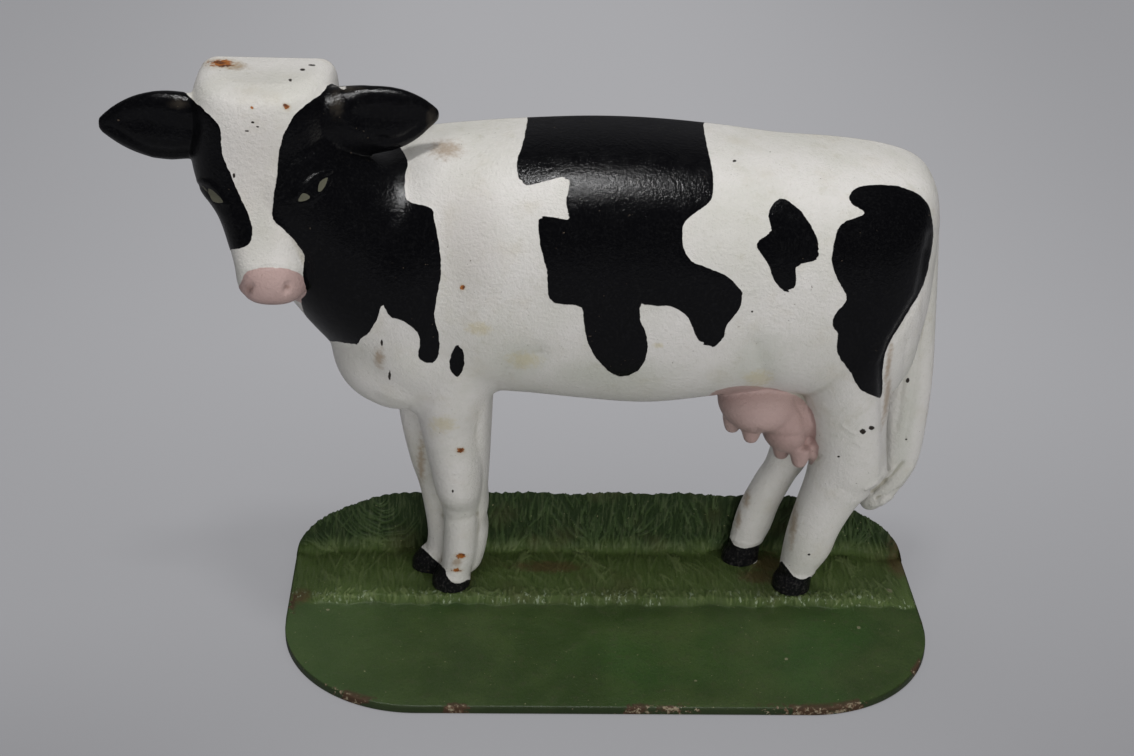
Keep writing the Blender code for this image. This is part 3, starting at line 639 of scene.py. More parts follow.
# %% [markdown]
# ## One skin
#
# A casting is one surface with soft fillets where its forms meet. Forms are joined, a voxel remesh makes
# one skin of them, and smoothing rounds what lies between, as moulding sand does. The torso is done first
# and coarsely, so that shoulder, breast and barrel flow into each other; then all of it with small fillets.
#
# Joining and modifiers act on the picked objects, so the helpers pick them first.

# %% Join the forms and make one skin
TORSO_VOXEL, TORSO_PASSES = 1.4 * MM, 40
SKIN_VOXEL = 0.58 * MM
FILLET_PASSES = 20


def pick(*objects):
    bpy.ops.object.select_all(action="DESELECT")
    for obj in objects:
        obj.select_set(True)
    bpy.context.view_layer.objects.active = objects[0]


def finish_with(obj, kind, **settings):
    """Adds one modifier to obj and applies it."""
    pick(obj)
    modifier = obj.modifiers.new(kind.lower(), kind)
    for name, value in settings.items():
        setattr(modifier, name, value)
    bpy.ops.object.modifier_apply(modifier=modifier.name)


def count_triangles(obj):
    return sum(len(face.vertices) - 2 for face in obj.data.polygons)


def one_skin(name, forms, voxel, passes):
    pick(*forms)
    bpy.ops.object.join()
    skin = bpy.context.object
    skin.name = skin.data.name = name
    finish_with(skin, "REMESH", mode="VOXEL", voxel_size=voxel)
    finish_with(skin, "SMOOTH", factor=0.5, iterations=passes)
    return skin


top_of_leg = LEGS["near_front_leg"][3][7:]
shoulder = tube_of_rings("shoulder", leg_rings(NEAR_FRONT_HOOF, NEAR_FRONT_LEG_RADIUS, top_of_leg))
torso = one_skin("torso", body_forms[:5] + [shoulder], TORSO_VOXEL, TORSO_PASSES)
cow = one_skin("painted_cow", [torso] + body_forms[5:], SKIN_VOXEL, FILLET_PASSES)
print("one skin:", count_triangles(cow), "triangles")

# %% [markdown]
# ## Laying out what lies on the figure
#
# The painter lays out the patches on the figure from the front. Here they are drawn as flat outlines in
# millimetres, like a stencil held up against the flat back, and thrown onto the figure from where the
# viewer stands. For each point of the skin, the place on that stencil is where the line from the viewer
# through the point meets the plane of the flat back.

# %% Stencil places and distances
POINTS_PER_CORNER = 4


def stencil_places(places):
    eye = np.array(CAMERA_PLACE)
    reach = (FIGURE_BACK - eye[1]) / (places[:, 1] - eye[1])
    return eye[[0, 2]] + (places[:, [0, 2]] - eye[[0, 2]]) * reach[:, None]


def smooth_loop(corners):
    """A closed outline on a smooth curve through its corners, given in millimetres."""
    before, start, end, after = (np.roll(np.array(corners, float) * MM, -step, 0) for step in (-1, 0, 1, 2))
    return curve_through(before, start, end, after, POINTS_PER_CORNER)


def line_distance(places, line, closed=False):
    """How far each place is from a line through points."""
    ends = np.roll(line, -1, 0) if closed else line[1:]
    gap = np.full(len(places), np.inf)
    for a, b in zip(line, ends):
        along = b - a
        t = np.clip((places - a) @ along / max(along @ along, 1e-18), 0, 1)
        gap = np.minimum(gap, np.linalg.norm(places - a - t[:, None] * along, axis=1))
    return gap


def inside_distance(places, loop, reach):
    """Positive inside a closed outline and negative outside it, no further than reach."""
    near = np.all((places > loop.min(0) - reach) & (places < loop.max(0) + reach), 1)
    some = places[near]
    gap = line_distance(some, loop, closed=True)
    crossings = np.zeros(len(some), int)
    for a, b in zip(loop, np.roll(loop, -1, 0)):
        if a[1] != b[1]:
            passes = (a[1] > some[:, 1]) != (b[1] > some[:, 1])
            meets = a[0] + (some[:, 1] - a[1]) * (b[0] - a[0]) / (b[1] - a[1])
            crossings += passes & (some[:, 0] < meets)
    distance = np.full(len(places), -reach)
    distance[near] = np.clip(np.where(crossings % 2 == 1, gap, -gap), -reach, reach)
    return distance


print("the stencil is the plane y =", round(FIGURE_BACK / MM, 2), "mm")

# %% [markdown]
# ## The painted outlines
#
# Black patches on the neck, the face, the flank and the rump, a pink nose and udder, black hooves and
# beige whites of the eyes. Each outline has only as many corners as its wobbly, hand-painted edge needs.

# %% Outlines of the paint, in millimetres along and up
BLACK_PATCHES = {
    "neck": [
        (-91, 181.5), (-97.5, 178.5), (-104.5, 173), (-108.5, 166.5), (-111, 159.5), (-112, 150.5),
        (-113.5, 143), (-114, 135.5), (-110.5, 131.5), (-107, 127.5), (-104.5, 123), (-104.5, 119),
        (-105, 114.5), (-104, 108.5), (-106, 105), (-103, 96), (-98.5, 91), (-94, 90), (-89, 89.5),
        (-87, 89), (-86, 91.5), (-83.5, 93.5), (-80.5, 99), (-78.5, 104.5), (-76, 100), (-71, 98),
        (-66, 92.5), (-66.5, 84.5), (-62, 82), (-59.5, 86), (-59.5, 93), (-61, 101), (-59, 115),
        (-59, 124), (-61, 136.5), (-62.5, 140.5), (-70, 143), (-70.5, 151.5), (-71, 160),
    ],
    "left_face": [
        (-138.5, 177), (-131.5, 170), (-129.5, 166), (-129.5, 159), (-127, 150.5), (-124.5, 143.5),
        (-122, 137), (-121, 131), (-122.5, 126), (-128, 124), (-134, 125), (-140, 134), (-146, 146),
        (-152, 152), (-165, 158), (-176, 166), (-170, 176), (-152, 183), (-144, 182),
    ],
    "chest_spot": [(-53, 90), (-51, 86.5), (-51, 81), (-53, 77), (-55.5, 79.5), (-55.5, 85)],
    "main": [
        (-32, 178), (-31, 172.5), (-32, 165), (-34, 157), (-33.5, 152), (-31, 149), (-25, 150.5),
        (-17, 152), (-17.5, 142.5), (-16, 137), (-22.5, 138), (-26.5, 137), (-25.5, 127.5),
        (-23, 117), (-22, 107.5), (-16.5, 105.5), (-11, 104.5), (-9.5, 96), (-7, 88), (-1.5, 81),
        (4, 78), (10, 81), (12.5, 88.5), (11.5, 95), (9, 101), (9.5, 106.5), (13.5, 105.5),
        (19.5, 105.5), (25, 102), (27.5, 97.5), (30.5, 92), (35, 90), (38.5, 94), (39, 98.5),
        (42.5, 104), (43.5, 110), (39.5, 116), (33, 119.5), (25.5, 122.5), (22.5, 127.5),
        (21.5, 133.5), (22.5, 137.5), (27, 141.5), (30.5, 145.5), (30, 155.5), (27.5, 164.5),
        (26, 171.5), (26.5, 178), (0, 180),
    ],
    "flank_spot": [
        (52.5, 145.5), (55.5, 145.5), (60.5, 141.5), (65.5, 135), (68, 129), (67.5, 123.5),
        (62.5, 122.5), (61, 120.5), (61.5, 114.5), (59, 111.5), (55, 114.5), (51, 122.5),
        (47, 128.5), (49, 132.5), (51.5, 134), (50, 139), (50.5, 143),
    ],
    "rump": [
        (76.5, 148.5), (80, 151), (88.5, 151.5), (96, 150), (101.5, 146.5), (104.5, 141),
        (106, 134), (106, 121.5), (104, 111.5), (100, 102), (96.5, 93.5), (95, 85.5), (96, 72),
        (93.5, 71.5), (88, 74.5), (84, 81), (78.5, 88.5), (78, 96), (76, 98.5), (76, 103),
        (79.5, 109.5), (76, 116), (73, 123), (73, 131.5), (75, 137.5), (82, 141), (77, 145),
    ],
}
PINK_PATCHES = {
    "udder": [
        (35, 71), (40.5, 74), (46, 75), (55, 74.5), (61.5, 73), (68, 69.8), (72.5, 64),
        (75.2, 55), (76, 49.5), (75.6, 45.5), (72, 40), (68, 38), (64, 40), (60, 42), (56, 50),
        (51, 49), (46, 52), (40, 54), (35, 62),
    ],
    "nose": [
        (-126.5, 110), (-124, 115.5), (-119, 117.5), (-114, 117.5), (-109, 117), (-105, 114.5),
        (-103, 109.5), (-104, 103), (-112, 99), (-122, 101), (-127, 106),
    ],
}
HOOF_PATCHES = {
    "near_front": [
        (-63, -4), (-59, -2.5), (-57, -4.5), (-56.5, -7), (-54.5, -10), (-51, -10), (-48, -8.5),
        (-46, -12), (-50, -20), (-58, -20), (-64, -12),
    ],
    "far_front": [(-66.5, 6), (-61.5, 0.5), (-58.5, -2.5), (-57, -8), (-63, -12), (-73, -7), (-70, 2)],
    "near_hind": [
        (66.5, 0.5), (69, -1.5), (72.5, -6), (76, -7), (79, -6), (80, -14), (72, -20), (62, -12),
    ],
    "far_hind": [(45.5, 12), (49, 8), (52.5, 6.5), (55.5, 7), (59.5, 8.5), (60, 4), (51.5, -4), (41, 3)],
}
EYE_WHITES = {
    "right_inner": [(-105.6, 142.0), (-103.9, 144.8), (-101.6, 143.5), (-103.3, 142.0)],
    "right_outer": [(-99.0, 145.6), (-98.4, 148.6), (-95.7, 150.5), (-96.5, 147.6), (-98.0, 145.5)],
    "left_inner": [(-134.5, 145.8), (-132.0, 144.2), (-130.0, 141.0), (-133.4, 141.5)],
    "left_outer": [(-136.7, 146.8), (-135.7, 146.2), (-134.6, 144.3)],
}
print("patches:", len(BLACK_PATCHES) + len(PINK_PATCHES) + len(HOOF_PATCHES))

# %% [markdown]
# ## Folds and ridges
#
# The pattern maker cut creases and ridges into the skin: where a cheek meets the neck, under the brisket,
# round a hoof, in the brush of the tail. Each is a stroke on the stencil with a width and a height, and
# pushes the skin out, or in where the height is negative. The black paint is thick enough to feel, so it
# stands a tenth of a millimetre proud too.

# %% Strokes that shape the skin
STROKES = [
    # points along and up, width, height, in millimetres
    ([(-91, 177), (-92, 171), (-92, 165), (-91, 160), (-89.5, 154)], 1.8, -0.4),  # cheek
    ([(-165, 166.5), (-161, 164), (-157, 161.5), (-152, 159), (-145.5, 158.5), (-140.5, 159)], 1.1, -0.6),
    ([(-166, 165.5), (-161.5, 162.5), (-156.5, 160), (-151.5, 157.5), (-145.5, 157), (-140.5, 157.5)],
     1.1, 0.5),
    ([(-159.5, 168.5), (-153, 168.5), (-147, 167.5), (-141.5, 166.5)], 4.6, -1.3),  # left ear's scoop
    ([(-84, 171.5), (-76.5, 171.5), (-70.5, 171), (-66, 171.5)], 4.2, -1.3),  # right ear's scoop
    ([(-79, 164.5), (-75, 164), (-71, 165), (-66, 168)], 1.1, -0.4),
    ([(-79, 162), (-75, 161.5), (-70, 163), (-65.5, 166), (-61.5, 170.5)], 1.2, 0.4),
    ([(-106.5, 143), (-104, 147), (-100, 150.5), (-95, 152.5)], 0.9, 0.6),  # right eye's lids and ball
    ([(-105.5, 141), (-101.5, 142), (-97.5, 145), (-95, 149.5)], 0.8, 0.45),
    ([(-103.5, 144), (-101, 146.5), (-98, 149)], 1.4, 0.35),
    ([(-137, 148.5), (-134, 147.5), (-131, 144.5), (-129.5, 140.5)], 0.9, 0.45),  # left eye's lids
    ([(-137, 145.5), (-135, 143), (-132, 140.5)], 0.8, 0.3),
    ([(-124, 108), (-122.5, 110.5)], 1.1, -0.8),  # nostrils and the edge of the nose
    ([(-111, 109), (-110, 111.5)], 1.1, -0.8),
    ([(-126, 111.5), (-124, 115.5), (-119, 117.5), (-114, 118), (-109, 117), (-104.5, 114.5)], 0.8, -0.35),
    ([(-82, 69), (-77, 66), (-70, 64)], 1.6, -0.4),  # under the brisket
    ([(-38.5, 74), (-36, 80), (-32, 84.5), (-25, 87)], 3.0, -0.7),  # elbow
    ([(50.5, 91), (52.5, 83.5), (56, 75.5)], 3.0, -0.6),  # flank
    ([(105.5, 134), (104, 111.5), (96.5, 93.5), (94.5, 84), (97, 66.5), (100, 49.5), (101, 36)], 1.5, -0.8),
    ([(84.5, 33.5), (91, 30), (97, 31.5), (100.5, 35.5)], 2.4, -0.35),  # hock
    ([(66, 69.5), (69.5, 62), (71.5, 54), (75.5, 46)], 1.2, -0.5),  # thigh over udder
    ([(53, 56.5), (60, 54.5), (67, 54.5), (70, 55)], 1.0, -0.5),  # between the udder's quarters
    ([(-59, 20), (-54.5, 17), (-49.5, 17.5), (-45.5, 20.5)], 1.3, -0.35),  # knee
    ([(67.5, 0), (70.5, -4.5), (73.5, -6.5), (77.5, -6.5), (79.5, -4)], 0.8, 0.4),  # rings above the hooves
    ([(46.5, 12), (50.5, 9), (55, 8), (58.5, 10)], 0.8, 0.35),
    ([(-58, -4.5), (-55.5, -9), (-51.5, -9.5), (-47.5, -7.5)], 0.8, 0.3),
    ([(110.5, 43), (106.5, 35), (101, 28)], 1.0, 0.75),  # twists of the tail's brush
    ([(107, 44), (103, 37), (97.5, 31.5)], 1.0, -0.8),
    ([(103.5, 42), (99.5, 36), (95, 33)], 1.0, 0.6),
    ([(104.5, 29.5), (101.5, 27), (98, 26)], 0.9, 0.6),
    ([(106.5, 33.5), (103, 30.5), (99.5, 29)], 0.9, -0.7),
    ([(104.5, 128), (107, 102), (107.5, 74), (107, 53.5)], 1.0, -0.35),
    ([(102.5, 94), (103, 74), (103, 58)], 0.9, -0.3),
    ([(83.5, 59.5), (86.5, 57), (88.5, 56)], 0.5, 0.3),  # raised scars on the thigh
    ([(88.5, 53), (91.5, 50.5)], 0.5, 0.3),
]


def normals_of(obj):
    return vectors_of(obj.data.vertex_normals, "vector")


def carve(obj, strokes):
    """Moves the skin that faces the viewer, along its own normals."""
    places, normals = points_of(obj), normals_of(obj)
    stencil = stencil_places(places)
    facing = np.clip(-normals[:, 1] * 4, 0, 1)
    push = np.zeros(len(places))
    for points, width, height in strokes:
        line = np.array(points, float) * MM
        reach = 3 * width * MM
        near = np.all((stencil > line.min(0) - reach) & (stencil < line.max(0) + reach), 1)
        gap = line_distance(stencil[near], line) / (width * MM)
        push[near] += height * MM * np.exp(-gap**2)
    set_points(obj, places + normals * (push * facing)[:, None])


carve(cow, STROKES)
print("strokes carved:", len(STROKES))

# %% [markdown]
# ## Flat back, soles and hollow
#
# The casting is flat where it lay against the mould's parting plane, and a core left its inside open, a
# wall of 5 mm all round. Cutting tools are the same sections, made smaller. The soles are cut level where
# they stand on the base, with a small gap, and each has a tapped hole for its screw.

# %% Cutting tools


def box_tool(name, low, high):
    low, high = Vector(low), Vector(high)
    tool = add(name, bpy.ops.mesh.primitive_cube_add, size=1)
    size_and_place(high - low, (low + high) / 2)
    return tool


def turned_tool(name, profile, centre):
    """A tool turned about the vertical through centre, from radius and height in order."""
    turns = 2 * math.pi * np.arange(24) / 24
    rings = [
        [(centre[0] + radius * math.cos(t), centre[1] + radius * math.sin(t), height) for t in turns]
        for radius, height in profile
    ]
    return tube_of_rings(name, rings)


def cut_away(obj, tool):
    finish_with(obj, "BOOLEAN", operation="DIFFERENCE", solver="MANIFOLD", object=tool)
    bpy.data.objects.remove(tool, do_unlink=True)


HOOVES = {name.removesuffix("_leg"): (x, FIGURE_BACK - depth) for name, ((x, depth), *_) in LEGS.items()}
print("hooves:", ", ".join(HOOVES))

# %% [markdown]
# ## Cut, thin out and hollow
#
# Two boxes take away what lies behind the flat back and below the soles. The skin is thinned out to a
# sensible number of triangles before the core is cut, so that the cut edges stay crisp.

# %% Cut the figure
FIGURE_TRIANGLES = 168_000
CORE_VOXEL, CORE_PASSES = 1.8 * MM, 5

far = BASE_LENGTH
cut_away(cow, box_tool("behind", (-far, FIGURE_BACK, -far), (far, FIGURE_BACK + far, 2 * far)))
cut_away(cow, box_tool("under", (-far, -far, -far), (far, far, FIGURE_FOOT)))
finish_with(cow, "DECIMATE", ratio=min(FIGURE_TRIANGLES / count_triangles(cow), 1))

core_forms = [
    tube_of_rings("core_" + name, rings(FIGURE_WALL))
    for name, rings in (("trunk", trunk_rings), ("neck", neck_rings), ("head", head_rings))
]
core = one_skin("core", core_forms, CORE_VOXEL, CORE_PASSES)
outside = points_of(cow)
core_places = points_of(core)
cut_away(cow, core)

LONG = 20 * MM
top = SCREW_RECESS + SCREW_LENGTH + HOLE_END_CLEARANCE
radius = SCREW_DIAMETER / 2 + HOLE_CLEARANCE
profile = [(radius, -LONG), (radius, top - radius / 2), (radius / 4, top)]
for name, centre in HOOVES.items():
    cut_away(cow, turned_tool("tap_" + name, profile, centre))
bpy.context.view_layer.update()
low_corner, high_corner = (np.array(c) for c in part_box("cow_casting"))
set_points(cow, np.clip(points_of(cow), low_corner, high_corner))
print("cut figure:", count_triangles(cow), "triangles")

# %% [markdown]
# ## Paint on the points
#
# For each point of the finished skin the stencil gives its distance to the edge of each paint, which the
# materials cut off sharply at nought. Two more numbers tell the inside of the core from the outer skin, and
# how hollow or sharp the surface is at a point; the white is made darker where it is hollow.

# %% Values for the cow's paint


def keep_value(obj, name, values):
    """Stores one number per point, for a material to read."""
    attribute = obj.data.attributes.new(name, "FLOAT", "POINT")
    attribute.data.foreach_set("value", np.ascontiguousarray(values, dtype=np.float32))


def deepest(stencil, *outlines):
    """How far each place lies inside any of the outlines, negative outside all of them."""
    return np.max([inside_distance(stencil, smooth_loop(corners), 4 * MM) for corners in outlines], axis=0)


def hollowness(obj):
    """Positive in creases and negative on edges, from how far a point lies from its neighbours' middle."""
    places, normals = points_of(obj), normals_of(obj)
    edges = np.empty(len(obj.data.edges) * 2, np.int32)
    obj.data.edges.foreach_get("vertices", edges)
    a, b = edges.reshape(-1, 2).T
    around = np.maximum(np.bincount(a, minlength=len(places)) + np.bincount(b, minlength=len(places)), 1)

    def spread(values):
        total = np.bincount(a, values[b], len(places)) + np.bincount(b, values[a], len(places))
        return total / around

    middle = places
    for _ in range(4):
        middle = np.stack([spread(middle[:, i]) for i in range(3)], 1)
    return spread(spread(((middle - places) * normals).sum(1)))


def within(places, centre, halves, slack):
    """How far inside a ball's swollen outline each point lies."""
    middle = np.array(at(*centre))
    return (slack - np.linalg.norm((places - middle) / np.array(halves), axis=1)) * min(halves)


def on_right_ear(places, normals):
    """Positive on the right ear's own skin, from how far each point lies inside the ear's swollen section."""
    out_shares, high_shares, thick_shares = np.array(EAR_STAGES).T
    root, tip = np.array(ear_middle(1, 0.0)), np.array(ear_middle(1, 1.0))
    out = (places[:, 0] - root[0]) / (tip[0] - root[0])
    rise = places[:, 2] - FIGURE_FOOT - root[2] - (tip[2] - root[2]) * out
    rise /= EAR_HALF_HEIGHT * np.interp(out, out_shares, high_shares)
    deep = FIGURE_BACK - places[:, 1] - EAR_DEPTH
    deep /= EAR_THICKNESS / 2 * np.interp(out, out_shares, thick_shares)
    behind = normals[:, 1] > 0.2
    start, slack = np.where(behind, -0.35, 0.05), np.where(behind, 2.4, 1.18)
    return np.where(out > start, (slack - np.hypot(rise, deep)) * 4 * MM, -4 * MM)


places = points_of(cow)
stencil = stencil_places(places)
depth = FIGURE_BACK - places[:, 1]
black = np.maximum(deepest(stencil, *BLACK_PATCHES.values()), on_right_ear(places, normals_of(cow)))

# the pink must also lie on the muzzle and on the udder themselves, which balls stand for
MUZZLE_BALL = (HEAD_X + 2 * MM, 38 * MM, MUZZLE_HEIGHT + 6 * MM), (15 * MM, 22 * MM, 12 * MM)
TEAT_HALVES = (5 * MM, 5 * MM, 6.5 * MM)
on_muzzle = within(places, *MUZZLE_BALL, 1.1)
nose = np.minimum(deepest(stencil, PINK_PATCHES["nose"]), on_muzzle)
teat_forms = [((x, deep, up - TEAT_LENGTH / 2), TEAT_HALVES) for x, deep, up in TEATS]
pink_forms = list(UDDER_FORMS.values()) + teat_forms
on_udder = np.max([within(places, centre, halves, 1.24) for centre, halves in pink_forms], axis=0)
on_belly = places[:, 2] - (FIGURE_FOOT + 71 * MM)
udder = np.minimum(deepest(stencil, PINK_PATCHES["udder"]), np.maximum(on_udder, on_belly))
low = (FIGURE_FOOT + 11 * MM - places[:, 2]) * 2

for name, distance in {
    "black_edge": black,
    "pink_edge": np.maximum(nose, udder),
    "hoof_edge": np.minimum(deepest(stencil, *HOOF_PATCHES.values()), low),
    "eye_edge": deepest(stencil, *EYE_WHITES.values()),
    "hollow": hollowness(cow),
    "along": stencil[:, 0],
    "up": stencil[:, 1],
}.items():
    keep_value(cow, name, distance / MM)

PAINT_THICKNESS = 0.14 * MM
thick = np.clip(black / (0.5 * MM) + 0.5, 0, 1) * PAINT_THICKNESS * (depth > 0.3 * MM)
set_points(cow, np.clip(places + normals_of(cow) * thick[:, None], low_corner, high_corner))
print("values kept for", len(places), "points")

# %% [markdown]
# ## The core's inside
#
# Points that come from the core's cutting tool lie inside the casting. They are told by their distance to
# the tool's own points.

# %% Mark the inside


def tree_of(places):
    tree = KDTree(len(places))
    for i, place in enumerate(places):
        tree.insert(place, i)
    tree.balance()
    return tree


core_tree, skin_tree = tree_of(core_places), tree_of(outside)
inside = [1.0 if core_tree.find(p)[2] < skin_tree.find(p)[2] else 0.0 for p in places]
keep_value(cow, "inside", inside)
pick(cow)
bpy.ops.object.shade_smooth_by_angle(angle=math.radians(42))
print("inside points:", int(sum(inside)))

# %% [markdown]
# ## The base
#
# The base casting is one long section that changes along its length: a plate with a rounded rim, a step up
# to the ledge, a heaped foot and the bank of grass. It starts as a grid, is bent round the section and
# closed into a tube, and its ends are filled.

# %% Section of the base
SECTION_POINTS = 168
BANK_TOP_FALL = 0.0024
STATIONS = 560


def corner_fall(x, radius):
    """How far the rim has drawn in at x, round a corner."""
    past = abs(x) - (BASE_LENGTH / 2 - radius)
    return radius - math.sqrt(max(radius**2 - max(past, 0) ** 2, 0))


def front_edge(x):
    return -BASE_DEPTH / 2 + corner_fall(x, FRONT_CORNER_RADIUS)


def bank_top(x):
    past = max(abs(x) - (BASE_LENGTH / 2 - BANK_END_LENGTH), 0) / BANK_END_LENGTH
    full = (1 - min(past, 1) ** 2) ** BANK_END_FULLNESS
    low = PLATE_THICKNESS + BANK_END_LIP
    tufts = 0.55 * abs(math.sin(x / (1.45 * MM) + 1.3 * math.sin(x / (6.1 * MM))))
    tufts += 0.35 * math.sin(x / (4.3 * MM) + 1.0) + 0.25 * math.sin(x / (11 * MM))
    return low + (BANK_HEIGHT - low + tufts * MM) * full


def smooth_step(t):
    return t * t * (3 - 2 * t)


def ledge_rise(x):
    room = (BASE_LENGTH / 2 - LEDGE_END_MARGIN / 2 - abs(x)) / (6 * LEDGE_SLOPE)
    return LEDGE_RISE * smooth_step(min(max(room, 0), 1))


def clear_of_hooves(x):
    share = 1.0
    for hoof_x, _ in (FAR_FRONT_HOOF, FAR_HIND_HOOF):
        past = (abs(x - hoof_x) - HOOF_HALF_LENGTH - HOOF_HOLLOW_MARGIN) / HOOF_HOLLOW_MARGIN
        share = min(share, max(past, 0))
    return share


def base_section(x):
    """Outline across the base at x: underside, front rim, apron, ledge, bank and back."""
    front, rear = front_edge(x), BASE_DEPTH / 2 - corner_fall(x, REAR_CORNER_RADIUS)
    rise, top = ledge_rise(x), bank_top(x)
    ledge = PLATE_THICKNESS + rise
    ragged = 0.5 * math.sin(x / (1.7 * MM) + 2 * math.sin(x / (9 * MM))) + 0.45 * math.sin(x / (4.7 * MM))
    step = max(BANK_FRONT - LEDGE_DEPTH + ragged * MM, front + 4 * RIM_ROUNDING)
    face = min(BANK_FRONT, rear - RIM_ROUNDING)
    foot = min(ledge, top - BANK_END_LIP)
    heap = min(BANK_FOOT_HEIGHT, (top - foot) / 3)
    reach = max(BANK_FOOT_REACH * heap / BANK_FOOT_HEIGHT * clear_of_hooves(x), SEAT_GAP / 3)
    lean = BANK_LEAN * (top - foot) / (BANK_HEIGHT - foot)
    r = RIM_ROUNDING
    points = [(rear - r / 2, 0), (face, 0), (step, 0), (front + r, 0)]
    for turn in np.linspace(0, math.pi / 2, 5)[1:]:
        points.append((front + r - r * math.sin(turn), r - r * math.cos(turn)))
    for turn in np.linspace(0, math.pi / 2, 6):
        points.append((front + r - r * math.cos(turn), PLATE_THICKNESS - r + r * math.sin(turn)))
    for t in np.linspace(0, 1, 14)[1:-1]:
        points.append((front + r + (step - front - r) * t, PLATE_THICKNESS))
    for t in np.linspace(0, 1, 9):
        points.append((step + LEDGE_SLOPE * t, PLATE_THICKNESS + rise * smooth_step(t)))
    for t in np.linspace(0, 1, 46)[1:]:
        y = step + LEDGE_SLOPE + (face - reach - step - LEDGE_SLOPE) * t
        points.append((y, ledge + (foot - ledge) * t))
    for t in np.linspace(0, 1, 11)[1:]:
        points.append((face - reach * (1 - t) ** 1.8, foot + heap * t**1.8))
    for t in np.linspace(0, 1, 60)[1:]:
        points.append((face + lean * t, foot + heap + (top - foot - heap) * t))
    back = min(BANK_TOP_FALL, 0.4 * (top - foot - heap))
    points.append((face + lean + (rear - face - lean) * 0.35, top - 0.3 * back))
    points.append((rear - r / 2, top - back))
    points.append((rear, top - back - min(r, (top - back - r) / 2)))
    while len(points) < SECTION_POINTS - 1:
        points.append((rear, points[-1][1] - 0.12 * (points[-1][1] - r)))
    points.append((rear, r / 2))
    return points


print("section points:", len(base_section(0.0)))

# %% [markdown]
# ## Blades of grass
#
# Grass on a casting is a relief: ridges that start at a root, bend and taper to a tip. They are laid out
# on the base's surface as it would unroll: along the base, and up from the front edge of the ledge, over
# it and up the bank. Upright blades fill the bank, fans of them lie across it, and more fan over the ledge
# with their thick ends on its front edge.

# %% Lay out the blades
grass = np.random.default_rng(11)
LEDGE_RUN = 32 * MM
BLADES = []


def add_blade(along, up, heading, length, curl, width, height):
    """A blade from its root. Heading is the angle from straight up, and curl the turn over its length."""
    BLADES.append((along, up, heading, length, curl, width, height))


def swirl(x):
    """How the bank's grass leans from place to place."""
    waves = 0.22 * math.sin(x / (9 * MM)) + 0.16 * math.sin(x / (3.7 * MM) + 2)
    return waves - 0.8 * max(0, (-x - 92 * MM) / (16 * MM))


def scatter_blade(x, shift, rows, heading, sway, lengths, curl, widths, heights):
    """A blade near x. Rows, lengths, widths and heights are ranges in millimetres to draw from."""
    add_blade(
        x + grass.normal(0, shift * MM), grass.uniform(*rows) * MM, heading + grass.normal(0, sway),
        grass.uniform(*lengths) * MM, grass.normal(0, curl), grass.uniform(*widths) * MM,
        grass.uniform(*heights) * MM,
    )


for x in np.arange(-108 * MM, 108 * MM, 1.15 * MM):
    for rows, lengths in [((31, 34), (6, 12)), ((37, 43), (7, 13)), ((44, 52), (5, 10))]:
        if rows[0] < 37 or not -94 * MM < x < -62 * MM:
            scatter_blade(x, 0.5, rows, swirl(x), 0.20, lengths, 0.35, (0.45, 0.72), (0.25, 0.60))
# the left end's whorl: arcs that leave one root on either side and turn upwards, nested like a tulip
for side, count, narrow, step in [(1, 7, 3.5, 1.4), (-1, 8, 4.0, 2.2)]:
    for i in range(count):
        for _ in range(2):
            wide = narrow + step * i + grass.normal(0, 0.5)
            add_blade(
                (-80 + grass.normal(0, 0.9)) * MM, LEDGE_RUN + (15 - 2.3 * i + grass.normal(0, 0.5)) * MM,
                side * (1.25 + grass.normal(0, 0.08)), wide / 0.60 * grass.uniform(0.85, 1.1) * MM,
                -side * (1.35 + grass.normal(0, 0.12)), grass.uniform(0.5, 0.7) * MM,
                grass.uniform(0.4, 0.65) * MM,
            )
# over the ledge: blades that lie down from the bank's foot, most of them to the right
for x in np.arange(-104 * MM, 105 * MM, 1.45 * MM):
    heading = math.pi - 0.22 + 0.35 * math.sin(x / (13 * MM) + 1.2)
    for rows, lengths in [((24, 31), (8, 17)), ((12, 22), (7, 14))]:
        scatter_blade(x, 0.9, rows, heading, 0.28, lengths, 0.35, (0.50, 0.80), (0.16, 0.36))
# short tips along the front edge of the ledge
for x in np.arange(-103 * MM, 104 * MM, 1.5 * MM):
    for _ in range(2):
        scatter_blade(x, 0.8, (2.5, 8), math.pi - 0.1, 0.45, (2.5, 6.5), 0.5, (0.45, 0.75), (0.25, 0.50))


# fans of blades that spread from about one root: where it is, which way they head and how far they spread,
# how many there are, how long and how curled
for along, up, middle, spread, count, length, curl in [
    (-98, 29, -0.7, 0.45, 8, 15, 0.3), (-34, 30, 0.3, 0.7, 9, 14, 0.3),
    (-4, 33, -0.2, 0.9, 9, 13, 0.4), (12, 37, 0.5, 0.5, 5, 12, 0.2),
    (42, 31, 0.4, 0.7, 8, 14, 0.4), (92, 33, 0.2, 0.8, 9, 13, 0.5),
    (-62, 27, 2.7, 0.5, 7, 15, 0.3), (-28, 27, 3.5, 0.5, 7, 17, 0.3),
    (-8, 29, 2.7, 0.35, 8, 22, 0.2), (26, 27, 2.9, 0.5, 7, 16, 0.3),
    (56, 24, 3.6, 0.5, 7, 12, 0.4), (88, 26, 2.8, 0.6, 8, 14, 0.4),
]:
    for share in np.linspace(-1, 1, count):
        add_blade(
            (along + share * 2.4) * MM + grass.normal(0, 0.5 * MM), (up + grass.uniform(0, 3)) * MM,
            middle + spread * share + grass.normal(0, 0.10), length * grass.uniform(0.65, 1.0) * MM,
            -curl * share, grass.uniform(0.5, 0.75) * MM, 0.72 * grass.uniform(0.7, 1.0) * MM,
        )
print("blades:", len(BLADES))

